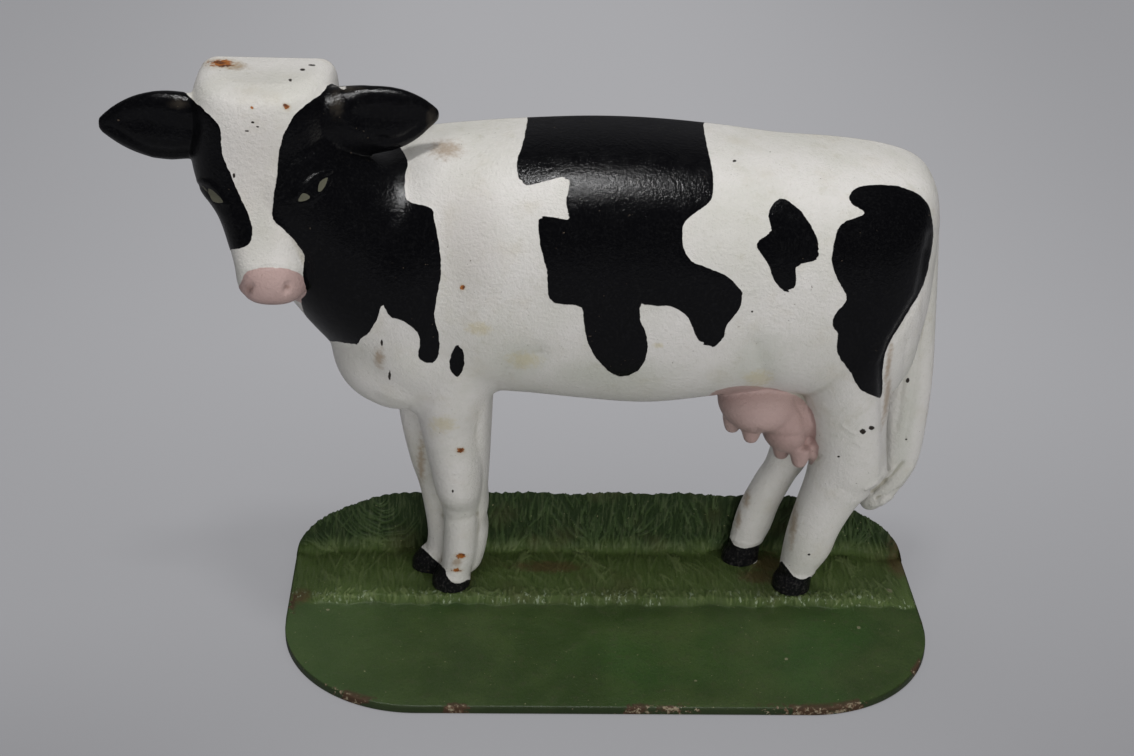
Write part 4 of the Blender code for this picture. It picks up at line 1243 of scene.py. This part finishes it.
# %% [markdown]
# ## From blades to a relief
#
# A blade is followed in short pieces that turn a little each. Its height falls off to either side like the
# back of a round file, and where blades cross, the higher one shows.

# %% Height of the grass over the unrolled surface
PIECES_PER_BLADE = 9


def grass_relief(along, up):
    """Height of the relief at each point of the unrolled surface, and how near a blade's ridge it is."""
    relief = np.zeros(len(along))
    for x0, v0, heading, length, curl, width, height in BLADES:
        near = (np.abs(along - x0) < length + width) & (np.abs(up - v0) < length + width)
        if not near.any():
            continue
        u, v = along[near], up[near]
        best = np.zeros(len(u))
        x, y, turn, piece_length = x0, v0, heading, length / PIECES_PER_BLADE
        for piece in range(PIECES_PER_BLADE):
            share = (piece + 0.5) / PIECES_PER_BLADE
            dx, dy = math.sin(turn) * piece_length, math.cos(turn) * piece_length
            t = np.clip(((u - x) * dx + (v - y) * dy) / (dx * dx + dy * dy), 0, 1)
            gap = np.hypot(u - x - t * dx, v - y - t * dy)
            wide = width * (1 - share) ** 0.55 * min(1, 0.55 + 3 * share)
            best = np.maximum(best, (1 - 0.55 * share) * np.sqrt(np.maximum(1 - (gap / wide) ** 2, 0)))
            x, y, turn = x + dx, y + dy, turn + curl / PIECES_PER_BLADE
        relief[near] = np.maximum(relief[near], height * best)
    return relief


lengths = [blade[3] / MM for blade in BLADES]
print(f"blades are {min(lengths):.1f} to {max(lengths):.1f} mm long")

# %% [markdown]
# ## A grid bent into a tube
#
# One side of the grid runs along the base and the other goes once round the section. The stations are
# closer together towards the ends, where the outline turns.

# %% Bend the grid round the section
even = np.linspace(-1, 1, STATIONS + 1)
crowded = -np.cos(math.pi * np.linspace(0, 1, STATIONS + 1))
stations = BASE_LENGTH / 2 * (0.65 * even + 0.35 * crowded)
sections = np.array([[(x, y, z) for y, z in base_section(x)] for x in stations])

grid = bpy.ops.mesh.primitive_grid_add
base = add("grassy_base", grid, x_subdivisions=STATIONS, y_subdivisions=SECTION_POINTS, size=2)
flat = points_of(base)
column = np.rint((flat[:, 0] + 1) / 2 * STATIONS).astype(int)
row = np.rint((flat[:, 1] + 1) / 2 * SECTION_POINTS).astype(int) % SECTION_POINTS
print("grid:", len(flat), "points", column.max(), row.max())

# %% [markdown]
# ## Grass raised on the base
#
# The way run along the section tells how far up the unrolled surface a point is. The points of the ledge
# and the bank are pushed outwards by the relief there, and less and less towards the two ends.

# %% Raise the relief on the ledge and the bank
# how many of the section's points come before the ledge, and how many lie on the ledge and the bank
LEDGE_FIRST = 4 + 4 + 6 + 12
BANK_LAST = LEDGE_FIRST + 9 + 45 + 10 + 59
steps = np.linalg.norm(np.diff(sections[:, :, 1:], axis=1), axis=2)
run = np.concatenate([np.zeros((len(stations), 1)), np.cumsum(steps, axis=1)], axis=1)
run -= run[:, LEDGE_FIRST + 2][:, None]
ahead = np.roll(sections, -1, 1) - np.roll(sections, 1, 1)
inward = np.stack([ahead[..., 2], -ahead[..., 1]], -1)
inward /= np.maximum(np.linalg.norm(inward, axis=-1, keepdims=True), 1e-9)
index = np.arange(SECTION_POINTS)
on_grass = (index >= LEDGE_FIRST) & (index < BANK_LAST)
grassy = np.clip((run + 1.5 * MM) / (1.5 * MM), 0, 1) * on_grass
x_all = np.repeat(stations[:, None], SECTION_POINTS, 1)
relief = grass_relief(x_all.ravel(), run.ravel()).reshape(x_all.shape) * grassy
relief *= np.clip((BASE_LENGTH / 2 - np.abs(x_all)) / (5 * MM), 0, 1)
shaped = sections.copy()
shaped[..., 1:] -= inward * relief[..., None]
print("relief up to", round(relief.max() / MM, 2), "mm")

# %% [markdown]
# ## Closed, with holes for the screws
#
# The values for the paint are kept before the grid's two long sides are merged, because merging renumbers
# the points. Then the ends are filled and a countersunk hole is turned out below each hoof.

# %% Close the base
edge = np.array([front_edge(x) for x in stations])[:, None]
rim = np.minimum(sections[:, :, 1] - edge, BASE_LENGTH / 2 - np.abs(x_all)) / MM
crest = relief / (0.6 * MM)
for name, values in {"rim": rim, "crest": crest, "run": run / MM}.items():
    keep_value(base, name, values[column, row])
set_points(base, shaped[column, row])
on_whole_mesh((bpy.ops.mesh.remove_doubles, {"threshold": 1e-6}), *CLOSE)
sink = SCREW_HEAD_HEIGHT + SCREW_RECESS
head_radius = SCREW_HEAD_DIAMETER / 2 + HOLE_CLEARANCE
profile = [(head_radius, -LONG), (head_radius, SCREW_RECESS), (radius, sink), (radius, LEDGE_TOP + LONG)]
for name, centre in HOOVES.items():
    cut_away(base, turned_tool("hole_" + name, profile, centre))
pick(base)
bpy.ops.object.shade_smooth_by_angle(angle=math.radians(50))
print("base:", count_triangles(base), "triangles")

# %% [markdown]
# ## Shader maths as plain arithmetic
#
# A material is a chain of nodes. To keep the recipes readable, a small class wraps a socket, so that
# `a * b + 1` adds the Math nodes, and one method adds any other node. Colours are written as they look on
# screen, from 0 to 255, and are turned into light values where they are plugged in.

# %% Wires and finishes


def light(red, green, blue):
    """A colour as it looks on screen, 0 to 255, as the light values that a shader needs."""
    parts = [v / 255 for v in (red, green, blue)]
    return (*(v / 12.92 if v <= 0.04045 else ((v + 0.055) / 1.055) ** 2.4 for v in parts), 1)


class Wire:
    """A value that varies over the surface."""

    def __init__(self, finish, socket):
        self.finish, self.socket = finish, socket

    def math(self, operation, *values):
        inputs = dict(enumerate(values))
        return self.finish.node("ShaderNodeMath", {"operation": operation}, inputs)

    def __add__(self, other):
        return self.math("ADD", self, other)

    def __radd__(self, other):
        return self.math("ADD", other, self)

    def __sub__(self, other):
        return self.math("SUBTRACT", self, other)

    def __rsub__(self, other):
        return self.math("SUBTRACT", other, self)

    def __mul__(self, other):
        return self.math("MULTIPLY", self, other)

    def __rmul__(self, other):
        return self.math("MULTIPLY", other, self)

    def power(self, other):
        return self.math("POWER", self, other)

    def least(self, other):
        return self.math("MINIMUM", self, other)

    def most(self, other):
        return self.math("MAXIMUM", self, other)

    def size(self):
        return self.math("ABSOLUTE", self)


class Finish:
    """A material with one Principled shader, and short words for its patterns."""

    def __init__(self, name):
        self.material = bpy.data.materials.new(name)
        self.material.use_nodes = True
        self.tree = self.material.node_tree
        self.shader = self.tree.nodes["Principled BSDF"]
        self.place = self.node("ShaderNodeTexCoord", output="Object")

    def node(self, kind, settings=None, inputs=None, output=0):
        made = self.tree.nodes.new(kind)
        for name, value in (settings or {}).items():
            setattr(made, name, value)
        for name, value in (inputs or {}).items():
            self.plug(made.inputs[name], value)
        return Wire(self, made.outputs[output])

    def plug(self, socket, value):
        if isinstance(value, Wire):
            self.tree.links.new(value.socket, socket)
        elif isinstance(value, tuple) and len(socket.default_value) == 4:
            socket.default_value = light(*value)
        else:
            socket.default_value = value

    def noise(self, size, detail=2.0, rough=0.5, vector=None):
        """Soft cloudy noise around 0.5, whose lumps are about size metres across."""
        inputs = {"Vector": vector or self.place, "Scale": 1 / size, "Detail": detail, "Roughness": rough}
        return self.node("ShaderNodeTexNoise", {"noise_dimensions": "3D"}, inputs, "Fac")

    def ramp(self, value, low, high, to_low=0.0, to_high=1.0):
        """Takes value from low..high to to_low..to_high, smoothly."""
        inputs = {"Value": value, "From Min": low, "From Max": high, "To Min": to_low, "To Max": to_high}
        return self.node("ShaderNodeMapRange", {"interpolation_type": "SMOOTHSTEP"}, inputs, "Result")

    def value(self, name):
        return self.node("ShaderNodeAttribute", {"attribute_name": name}, output="Fac")

    def stretched(self, share):
        """The place in x, and only a share of it in y and z, so that noise is drawn out front to back."""
        inputs = {0: self.place, 1: (1.0, share, share)}
        return self.node("ShaderNodeVectorMath", {"operation": "MULTIPLY"}, inputs, "Vector")

    def spots(self, size, low, high, detail=2.0, rough=0.5):
        """Noise that is cut off softly from low to high."""
        return self.ramp(self.noise(size, detail, rough), low, high)

    def mix(self, share, under, over):
        """Colour under, covered by colour over as far as share says."""
        settings = {"data_type": "RGBA", "clamp_factor": True}
        return self.node("ShaderNodeMix", settings, {0: share, 6: under, 7: over}, 2)

    def coats(self, under, *coats):
        """Colour under, covered by one coat after another, each with its share and colour."""
        for share, over in coats:
            under = self.mix(share, under, over)
        return under

    def near(self, marks, outer, inner, along=None, up=None, wobble=1.3):
        """1 within any of the marks and 0 outside them, with an edge that wobbles."""
        along, up = along or self.value("along"), up or self.value("up")
        ragged = (self.noise(0.0016, 3, 0.6) - 0.5) * wobble
        closest = None
        for x, z, half_length, half_height in marks:
            across, over = (along - x) * (1 / half_length), (up - z) * (1 / half_height)
            share = (across * across + over * over).power(0.5)
            closest = share if closest is None else closest.least(share)
        return self.ramp(closest + ragged, outer, inner)

    def axis(self, name):
        return self.node("ShaderNodeSeparateXYZ", inputs={"Vector": self.place}, output=name)

    def bump(self, height, strength, distance, normal=None):
        inputs = {"Height": height, "Strength": strength, "Distance": distance}
        if normal:
            inputs["Normal"] = normal
        return self.node("ShaderNodeBump", inputs=inputs, output="Normal")

    def wear(self, **sockets):
        for name, value in sockets.items():
            self.plug(self.shader.inputs[name.replace("_", " ")], value)


print("finishes ready, mid grey is light", round(light(128, 128, 128)[0], 3))

# %% [markdown]
# ## Paint on the cow
#
# White oil paint, slightly warm, over a sand-cast skin. The black patches are glossier. Pink is on the
# nose and udder, black on the hooves. Marks of wear are small ellipses on the stencil.

# %% Colours and marks of the cow's paint
WHITE = (210, 207, 202)
WHITE_SHADE = (200, 198, 190)
# a greener grey white, for the grain and for painted shade
GRAIN_AND_PAINTED_SHADE_GREY = (172, 176, 162)
OLD_VARNISH = (188, 181, 164)
# a warm grey white, for painted shade on the face and the shoulder
PAINTED_SHADE_WARM_WHITE = (178, 172, 166)
GRIME = (168, 164, 142)
CREASE_AND_SPECK_GREY = (140, 134, 114)
PINK = (180, 156, 150)
PINK_SHADE = (168, 142, 136)
BLACK = (9, 9, 11)
BLACK_WORN = (24, 24, 25)
# a lighter black for rubbed paint and for a painted sheen
RUBBED_AND_SHEEN_BLACK = (96, 88, 76)
HOOF_BLACK = (20, 20, 22)
HOOF_WORN = (62, 60, 58)
EYE_WHITE = (86, 85, 72)
BROWN = (136, 108, 70)
YELLOWED = (186, 172, 120)
NOSE_DARK = (112, 86, 74)
RUST = (158, 96, 44)
RUST_DARK = (92, 52, 30)
RUST_HALO = (168, 146, 108)
CHIPPED = (44, 38, 34)
SPECKS = (88, 76, 62)
# place along and up on the stencil, and half length and half height, in millimetres
RUST_CHIPS = [
    (-127.8, 188.4, 4.0, 1.2), (-51.5, 111.5, 0.8, 0.9), (-52, 47, 1.3, 1.0), (-51.5, 2, 1.9, 1.1),
    (-53, -4.5, 1.6, 0.8), (-108, 174.5, 0.9, 1.0), (-119, 174, 0.4, 0.4),
]
DARK_CHIPS = [
    (-102.5, 187, 0.9, 0.4), (-106.5, 183.5, 0.6, 0.5), (-119, 169, 0.6, 0.4), (-117.5, 167.5, 0.5, 0.3),
    (-121, 166, 0.7, 0.3), (-99.5, 188.5, 1.1, 0.3), (91, 57, 1.2, 1.1), (94, 58.5, 1.0, 0.9),
    (83.5, 46.5, 0.6, 0.4), (104.5, 78, 0.7, 1.0), (107, 54, 0.5, 0.4), (-126, 150.5, 0.5, 0.9),
    (47.5, 104, 0.4, 0.4), (-54.5, 30, 0.4, 0.6), (-76.5, 77, 0.5, 2.0), (-79, 90, 0.4, 1.4),
    (77, 4, 0.6, 0.5), (37, 159, 0.6, 0.4),
]
BROWN_STAINS = [
    (-57, 161, 8, 5), (-65.8, 42, 2.2, 16), (98, 70, 1.6, 16), (70, 17, 2.2, 15), (52, 28, 2.2, 6),
    (49.5, 19, 1.8, 7), (-124, 187.5, 7, 1.8), (-53, -1, 3, 3), (-80, 84, 3, 6), (97, 84, 1.6, 14),
    (38.5, 24, 1.6, 8),
]
YELLOW_STAINS = [(16, 90.5, 2.6, 1.8), (-58, 58, 7, 5), (-30, 84, 9, 5), (-46, 96, 6, 4), (52, 78, 8, 5)]
# lighter black on the ears: partly rubbed paint, partly a painted sheen
EAR_WEAR_AND_SHEEN = [(-92, 176, 3, 6), (-142, 175, 4, 2.4), (-88, 181, 5, 1.6), (-62, 171, 2, 5)]
# darker in the two nostrils and along the lower edge of the nose
NOSE_DARKENING = [(-123, 109.5, 1.8, 2.2), (-110.5, 110.5, 1.4, 1.0), (-114, 103, 9, 1.4)]
# painted shade on the face and the shoulder, and more under the belly, in creases, under the head and by the
# tail
FACE_AND_SHOULDER_PAINTED_SHADE = [(-117, 150, 18, 38), (-50, 128, 14, 30)]
PAINTED_SHADES = [
    (-30, 84, 15, 11), (0, 79, 34, 9), (52, 86, 12, 16), (-100, 130, 5, 20), (106, 60, 6, 34),
    (-118, 133, 7, 16),
]
print("chips and stains:", len(RUST_CHIPS + DARK_CHIPS + BROWN_STAINS + YELLOW_STAINS))

# %% [markdown]
# ## Masks of the paint
#
# A mask is 1 where a paint lies. The kept distances are cut off at nought, and a little noise makes the
# edges waver like a hand-painted line. No paint lies inside the casting or on its flat back.

# %% Where each paint lies
p = Finish("cow_paint")
inside_mask = p.ramp(p.value("inside").most((p.axis("Y") - (FIGURE_BACK - 0.1 * MM)) * 100000), 0.3, 0.8)
outside_mask = 1 - inside_mask
wobble = (p.noise(0.0035, 3) - 0.5) * 0.9 + (p.noise(0.0012, 2) - 0.5) * 0.35
black_edge = p.value("black_edge") + wobble
black = p.ramp(black_edge, -0.06, 0.06) * outside_mask
pink = p.ramp(p.value("pink_edge") + wobble, -0.12, 0.12) * outside_mask
hoof = p.ramp(p.value("hoof_edge") + wobble, -0.06, 0.06) * outside_mask
eye = p.ramp(p.value("eye_edge") + wobble * 0.4, -0.08, 0.08) * outside_mask
print("masks made with", len(p.tree.nodes), "nodes")

# %% [markdown]
# ## Coats of paint
#
# Each coat has its share and its colour, and covers the ones before it. The shares come from clouds of noise,
# from the creases, where the white is darker, and from the painted shade.

# %% White, pink and black
clouds, fine, lumps = p.noise(0.028, 3), p.noise(0.0008, 3, 0.65), p.noise(0.0022, 3, 0.6)
white = p.coats(
    WHITE,
    (p.ramp(clouds, 0.35, 0.7), WHITE_SHADE),
    (p.spots(0.012, 0.50, 0.80, 4, 0.65) * 0.40, OLD_VARNISH),
    # the white is darker in the creases
    (p.ramp(p.value("hollow"), 0.015, 0.12) * 0.60, CREASE_AND_SPECK_GREY),
    (p.ramp(fine, 0.60, 0.78) * 0.36, CREASE_AND_SPECK_GREY),
    (p.ramp(lumps, 0.42, 0.70) * 0.10, GRAIN_AND_PAINTED_SHADE_GREY),
    # painted shade: darker under the belly, in creases, under the head and by the tail, then on face and
    # shoulder
    (p.near(PAINTED_SHADES, 1.1, 0.0, wobble=0.4) * 0.42, GRAIN_AND_PAINTED_SHADE_GREY),
    (p.near(FACE_AND_SHOULDER_PAINTED_SHADE, 1.2, 0.2, wobble=0.4) * 0.42, PAINTED_SHADE_WARM_WHITE),
    (p.spots(0.0055, 0.52, 0.74, 4, 0.7) * p.spots(0.03, 0.42, 0.62) * 0.32, GRIME),
)
hoof_ink = p.mix(p.ramp(fine, 0.50, 0.68), HOOF_BLACK, HOOF_WORN)
ink = p.coats(BLACK, (p.ramp(fine, 0.45, 0.75) * 0.6, BLACK_WORN), (hoof * 0.7, hoof_ink))
paint = p.coats(
    white,
    (pink, p.mix(p.ramp(clouds, 0.3, 0.7), PINK, PINK_SHADE)),
    (black.most(hoof), ink),
    (eye, EYE_WHITE),
)
print("coats made with", len(p.tree.nodes), "nodes")

# %% [markdown]
# ## Wear on the cow, and a painted sheen on its ears
#
# Brown and yellow stains are faint and only show on the white. Rust has a pale halo, and chips are dark
# and sharp. The two numbers after a list of marks say at which share of a mark's outline it begins and
# where it is full.

# %% Stains, chips and rust
on_white = outside_mask * (1 - black)
specks = p.spots(0.0011, 0.735, 0.765) * p.spots(0.02, 0.45, 0.6)
rusty = p.mix(p.ramp(lumps, 0.40, 0.60), RUST_DARK, RUST)
paint = p.coats(
    paint,
    (p.near(BROWN_STAINS, 0.95, 0.1) * 0.60 * on_white, BROWN),
    (p.near(YELLOW_STAINS, 0.9, 0.2) * 0.40 * on_white, YELLOWED),
    # rubbed paint and a painted sheen on the ears
    (p.near(EAR_WEAR_AND_SHEEN, 1.1, 0.0) * 0.20 * outside_mask, RUBBED_AND_SHEEN_BLACK),
    (p.near(RUST_CHIPS, 2.1, 0.6, wobble=1.8) * 0.45 * outside_mask, RUST_HALO),
    (p.near(RUST_CHIPS, 1.15, 0.70, wobble=2.6) * outside_mask, rusty),
    # darker nostrils and lower edge of the nose
    (p.near(NOSE_DARKENING, 1.2, 0.2) * 0.55 * outside_mask, NOSE_DARK),
    (p.near(DARK_CHIPS, 1.05, 0.80) * outside_mask, CHIPPED),
    (specks * 0.8 * outside_mask, SPECKS),
)
print("wear made with", len(p.tree.nodes), "nodes")

# %% [markdown]
# ## Iron, gloss and grain
#
# Bare iron shows inside, dull and a little rusty. The paint has the fine grain of the sand mould, weaker
# where the black lies thick, and a step at the edge of the black.

# %% Bare iron inside, gloss and grain
iron = p.mix(p.spots(0.012, 0.30, 0.72, 5, 0.6), (66, 60, 56), (98, 93, 87))
iron = p.mix(p.spots(0.005, 0.54, 0.74, 4, 0.7) * 0.6, iron, (92, 62, 44))
gloss = p.ramp(p.noise(0.005, 3), 0.3, 0.7, 0.34, 0.46)
rough_ink = 1 - black * 0.5
grain = p.bump(p.noise(0.0013, 3, 0.6) * rough_ink, 0.42, 0.0007, p.bump(fine * rough_ink, 0.55, 0.0004))


def dress(obj, finish):
    obj.data.materials.clear()
    obj.data.materials.append(finish.material)


p.wear(
    Base_Color=p.mix(inside_mask, paint, iron),
    Roughness=gloss - black * 0.20 + inside_mask * 0.25 + specks * 0.3,
    Normal=p.bump(p.ramp(black_edge, -0.20, 0.10), 0.5, 0.00025, grain),
    Specular_IOR_Level=0.26,
)
dress(cow, p)
print("cow paint:", len(p.tree.nodes), "nodes")

# %% [markdown]
# ## Paint on the base
#
# Dark green, smooth and glossy on the apron and duller in the grass. Blades are paler along their crests. The
# flat ledge's green is paler, as painted light, and the upright bank's darker, as painted shade.

# %% Green and its wear
p = Finish("grass_green_paint")
x_mm, y_mm, z_mm = (p.axis(name) * 1000 for name in "XYZ")
rim, crest, run = p.value("rim"), p.value("crest"), p.value("run")
grassy = p.ramp(run, -1.5, 1.0) * p.ramp(run, 75, 60)
bank = p.ramp(run, 29, 37)
patchy, streaks, fine = p.noise(0.018, 3), p.noise(0.0035, 4, 0.6), p.noise(0.0009, 3, 0.65)
hairs = p.noise(0.0009, 3, 0.6, p.stretched(0.14))
apron_green = p.coats(
    (46, 63, 27),
    (p.ramp(patchy, 0.35, 0.68), (57, 73, 35)),
    (p.spots(0.05, 0.5, 0.72) * 0.45, (43, 78, 28)),
    (p.ramp(streaks, 0.5, 0.75) * 0.40, (64, 66, 44)),
    (p.spots(0.0007, 0.50, 0.72) * 0.40, (32, 48, 20)),
    (p.ramp(x_mm, -50, -100) * 0.5, (66, 84, 50)),
)
# painted light on the flat ledge, painted shade on the upright bank
blade_green = p.coats(
    p.mix(p.ramp(crest, 0.05, 0.6), (74, 91, 46), (96, 110, 66)),
    (bank, p.mix(p.ramp(crest, 0.05, 0.9), (37, 50, 28), (60, 76, 45))),
    (p.ramp(hairs, 0.48, 0.70) * 0.40, (88, 98, 68)),
    (p.ramp(hairs, 0.50, 0.32) * 0.35, (34, 47, 24)),
    (p.ramp(patchy, 0.50, 0.72) * 0.40, (72, 68, 44)),
)
print("greens made with", len(p.tree.nodes), "nodes")

# %% [markdown]
# ## Wear, painted glints and painted shade on the base
#
# The rim is worn to rust and cream primer in places. Painted glints, small pale specks of highlight, lie on
# the ledge's front edge and on the crests of some of the bank's blades. The underside is bare.

# %% Chips, rust and the bare underside
# place along and back on the base, and half length and half depth, in millimetres
RIM_WEAR = [
    (-84, -37, 12, 9), (-52, -46, 5, 3), (15, -46, 15, 4), (68, -44, 22, 7), (104, -24, 3, 8),
    (-108, 10, 3, 7),
]
BROWN_GROUND = [
    (60, 33, 8, 8), (56, 25, 8, 5), (-107, 14, 4, 5), (109, 36, 4, 8), (-20, 30, 14, 4), (-52, 22, 6, 5),
]
RINGS = [
    (103, 20, 1.4, 1.6), (88, -2, 0.8, 1.0), (60, -20, 0.7, 0.8), (-97, 6, 0.8, 0.7), (28, -32, 0.6, 0.6),
]
REAR_MM = BASE_DEPTH / 2 / MM

worn_rim = p.near(RIM_WEAR, 1.1, 0.4, x_mm, y_mm)
chips = p.ramp(p.noise(0.0017, 3, 0.65) + worn_rim * 0.19, 0.69, 0.73) * p.ramp(rim, 1.8, 0.5)
rust_area = p.ramp(p.noise(0.006, 3) + worn_rim * 0.30, 0.66, 0.78) * p.ramp(rim, 3.6, 1.2)
# painted glints along the ledge's front edge
painted_edge_glints = p.ramp(p.noise(0.0011, 3, 0.6, p.stretched(0.45)), 0.57, 0.63) * p.spots(0.008, 0.40, 0.52)
painted_edge_glints = painted_edge_glints * p.ramp(run, -1.0, 0.5) * p.ramp(run, 8, 3)
# painted highlights on the crests of some of the bank's blades
tips = p.ramp(crest, 0.5, 0.9) * p.spots(0.0022, 0.58, 0.70, 3) * bank
beneath = p.ramp(z_mm, 0.6, 0.2).most(p.ramp(y_mm, REAR_MM - 0.4, REAR_MM - 0.1) * 0.6)
green = p.coats(
    apron_green,
    (grassy, blade_green),
    # painted shade: the rounded rim and the plate's outer face darker
    (p.ramp(rim, 0.9, 0.1) * 0.6, (30, 34, 24)),
    (p.near(BROWN_GROUND, 1.2, 0.4, x_mm, y_mm) * 0.62, (84, 60, 42)),
    (rust_area * 0.8, p.mix(streaks, (48, 34, 26), (84, 56, 40))),
    (chips, p.mix(p.ramp(fine, 0.4, 0.6), (84, 62, 46), (134, 124, 102))),
    (p.near(RINGS, 1.0, 0.6, x_mm, y_mm, 0.9) * 0.7, (124, 122, 96)),
    # painted glints, then painted highlights on the bank
    (painted_edge_glints * 0.85, (142, 154, 128)),
    (tips * 0.55, (108, 120, 90)),
    (p.spots(0.0011, 0.725, 0.760) * 0.8, (140, 138, 104)),
    (beneath, p.mix(p.spots(0.005, 0.4, 0.65, 4), (60, 44, 36), (74, 72, 68))),
)
p.wear(
    Base_Color=green,
    Roughness=p.ramp(p.noise(0.004, 3), 0.3, 0.7, 0.36, 0.50) + rust_area * 0.25 + beneath * 0.2,
    Normal=p.bump(hairs * grassy, 0.55, 0.0006, p.bump(streaks, 0.20, 0.0007, p.bump(fine, 0.45, 0.0004))),
    Specular_IOR_Level=0.33,
)
dress(base, p)
print("grass paint:", len(p.tree.nodes), "nodes")

# %% [markdown]
# ## Steel of the screws
#
# The four screws are the solids themselves. They only get a better finish: dull zinc-grey steel with a
# little rust in the slot.

# %% Screw steel
p = Finish("screw_steel")
rust = p.spots(0.0015, 0.5, 0.7, 4, 0.6)
p.wear(
    Base_Color=p.mix(rust, (128, 124, 118), (94, 62, 42)),
    Metallic=1 - rust * 0.8,
    Roughness=p.ramp(p.noise(0.0008, 3), 0.3, 0.7, 0.3, 0.5) + rust * 0.3,
    Normal=p.bump(p.noise(0.0007, 3), 0.3, 0.0002),
)
for name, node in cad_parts.items():
    if name.startswith("hoof_screw"):
        for place in node.material_slots:
            place.material = p.material
print("screw steel:", len(p.tree.nodes), "nodes")

# %% [markdown]
# ## Studio
#
# A grey sweep: the floor runs back and curves up into a wall far behind, so that there is room to look
# from any side.

# %% Floor and backdrop
FLOOR_SIZE = 8
SWEEP_START = 1.6
SWEEP_RADIUS = 1.0
WALL_HEIGHT = 2.0

plane = bpy.ops.mesh.primitive_plane_add
floor = add("floor", plane, size=FLOOR_SIZE, location=(0, SWEEP_START - FLOOR_SIZE / 2, 0))
bpy.ops.object.mode_set(mode="EDIT")
bpy.ops.mesh.select_all(action="DESELECT")
bpy.ops.object.mode_set(mode="OBJECT")
for side in floor.data.edges:
    side.select = all(abs(floor.data.vertices[v].co.y - FLOOR_SIZE / 2) < 0.01 for v in side.vertices)
bpy.ops.object.mode_set(mode="EDIT")
bpy.ops.mesh.spin(
    steps=24, angle=-math.pi / 2, axis=(1, 0, 0), center=(0, SWEEP_START, SWEEP_RADIUS), dupli=False
)
bpy.ops.mesh.extrude_region_move(TRANSFORM_OT_translate={"value": (0, 0, WALL_HEIGHT)})
bpy.ops.mesh.select_all(action="SELECT")
bpy.ops.mesh.normals_make_consistent(inside=False)
bpy.ops.object.mode_set(mode="OBJECT")
bpy.ops.object.transform_apply(location=True, rotation=True, scale=True)
bpy.ops.object.shade_smooth()
low, high = points_of(floor).min(0).round(2), points_of(floor).max(0).round(2)
print("sweep from", low.tolist(), "to", high.tolist())

# %% [markdown]
# ## Grey of the sweep
#
# The photograph's background is lighter behind the cow and darker in the near corners. The camera sees
# mostly that even tone as a glow, a quarter of the real light and shade, and gloss mirrors a darker room.

# %% Studio grey
p = Finish("studio_grey")
x, y, z = (p.axis(name) for name in "XYZ")
# painted light and shade on the sweep: paler behind the cow, darker to the right and in the near corners
tone = p.coats(
    (154, 154, 157),
    (p.ramp(x, 0.0, 0.4) * p.ramp(y, 0.2, -0.1), (134, 134, 137)),
    (p.ramp(x.size(), 0.05, 0.20) * p.ramp(y, 0.02, -0.12), (134, 134, 137)),
    (p.ramp(y, -0.03, 0.26) * p.ramp(z, 1.2, 0.3) * p.ramp(x.size(), 0.40, 0.04), (175, 175, 178)),
)
p.wear(Base_Color=(166, 166, 169), Roughness=0.95)
lit = Wire(p, p.shader.outputs["BSDF"])
glow, dark = (
    p.node("ShaderNodeEmission", inputs={"Color": colour, "Strength": 1.0}, output="Emission")
    for colour in (tone, (90, 90, 92))
)
for ray, share, shown in [("Is Glossy Ray", 0.8, dark), ("Is Camera Ray", 0.75, glow)]:
    share = p.node("ShaderNodeLightPath", output=ray) * share
    lit = p.node("ShaderNodeMixShader", inputs={0: share, 1: lit, 2: shown}, output="Shader")
p.plug(p.tree.nodes["Material Output"].inputs["Surface"], lit)
dress(floor, p)
print("studio grey:", len(p.tree.nodes), "nodes")

# %% [markdown]
# ## Lamps
#
# A small bright lamp above and in front gives the glint on the back. A wide one low in front fills the
# legs, one behind lifts the outline, and a dim world fills the shadows.

# %% Lamps and world


def lamp(name, place, aim, size, power, in_reflections=True):
    data = bpy.data.lights.new(name, "AREA")
    data.shape, data.size, data.energy = "SQUARE", size, power
    obj = bpy.data.objects.new(name, data)
    bpy.context.scene.collection.objects.link(obj)
    direction = Vector(aim) - Vector(place)
    obj.matrix_world = Matrix.Translation(place) @ direction.to_track_quat("-Z", "Y").to_matrix().to_4x4()
    obj.visible_glossy = in_reflections


lamp("key", (-0.08, -0.19, 1.6), (0, 0, 0.05), 0.20, 10.4)
lamp("front_fill", (0.55, -1.9, 0.25), (0, 0, 0.1), 2.0, 36, in_reflections=False)
lamp("back_light", (0.0, 0.9, 1.5), (0, 0.1, 0.1), 0.8, 5, in_reflections=False)
world = bpy.data.worlds.new("studio")
world.use_nodes = True
background = world.node_tree.nodes["Background"].inputs
background["Color"].default_value = light(205, 205, 210)
background["Strength"].default_value = 0.46
world.cycles_visibility.glossy = False
bpy.context.scene.world = world
bpy.context.scene.view_settings.view_transform = "Standard"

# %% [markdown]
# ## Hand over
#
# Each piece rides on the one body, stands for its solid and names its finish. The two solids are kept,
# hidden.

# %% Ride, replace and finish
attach(cow, "root")
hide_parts("cow_casting")
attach(base, "root")
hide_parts("base_casting")
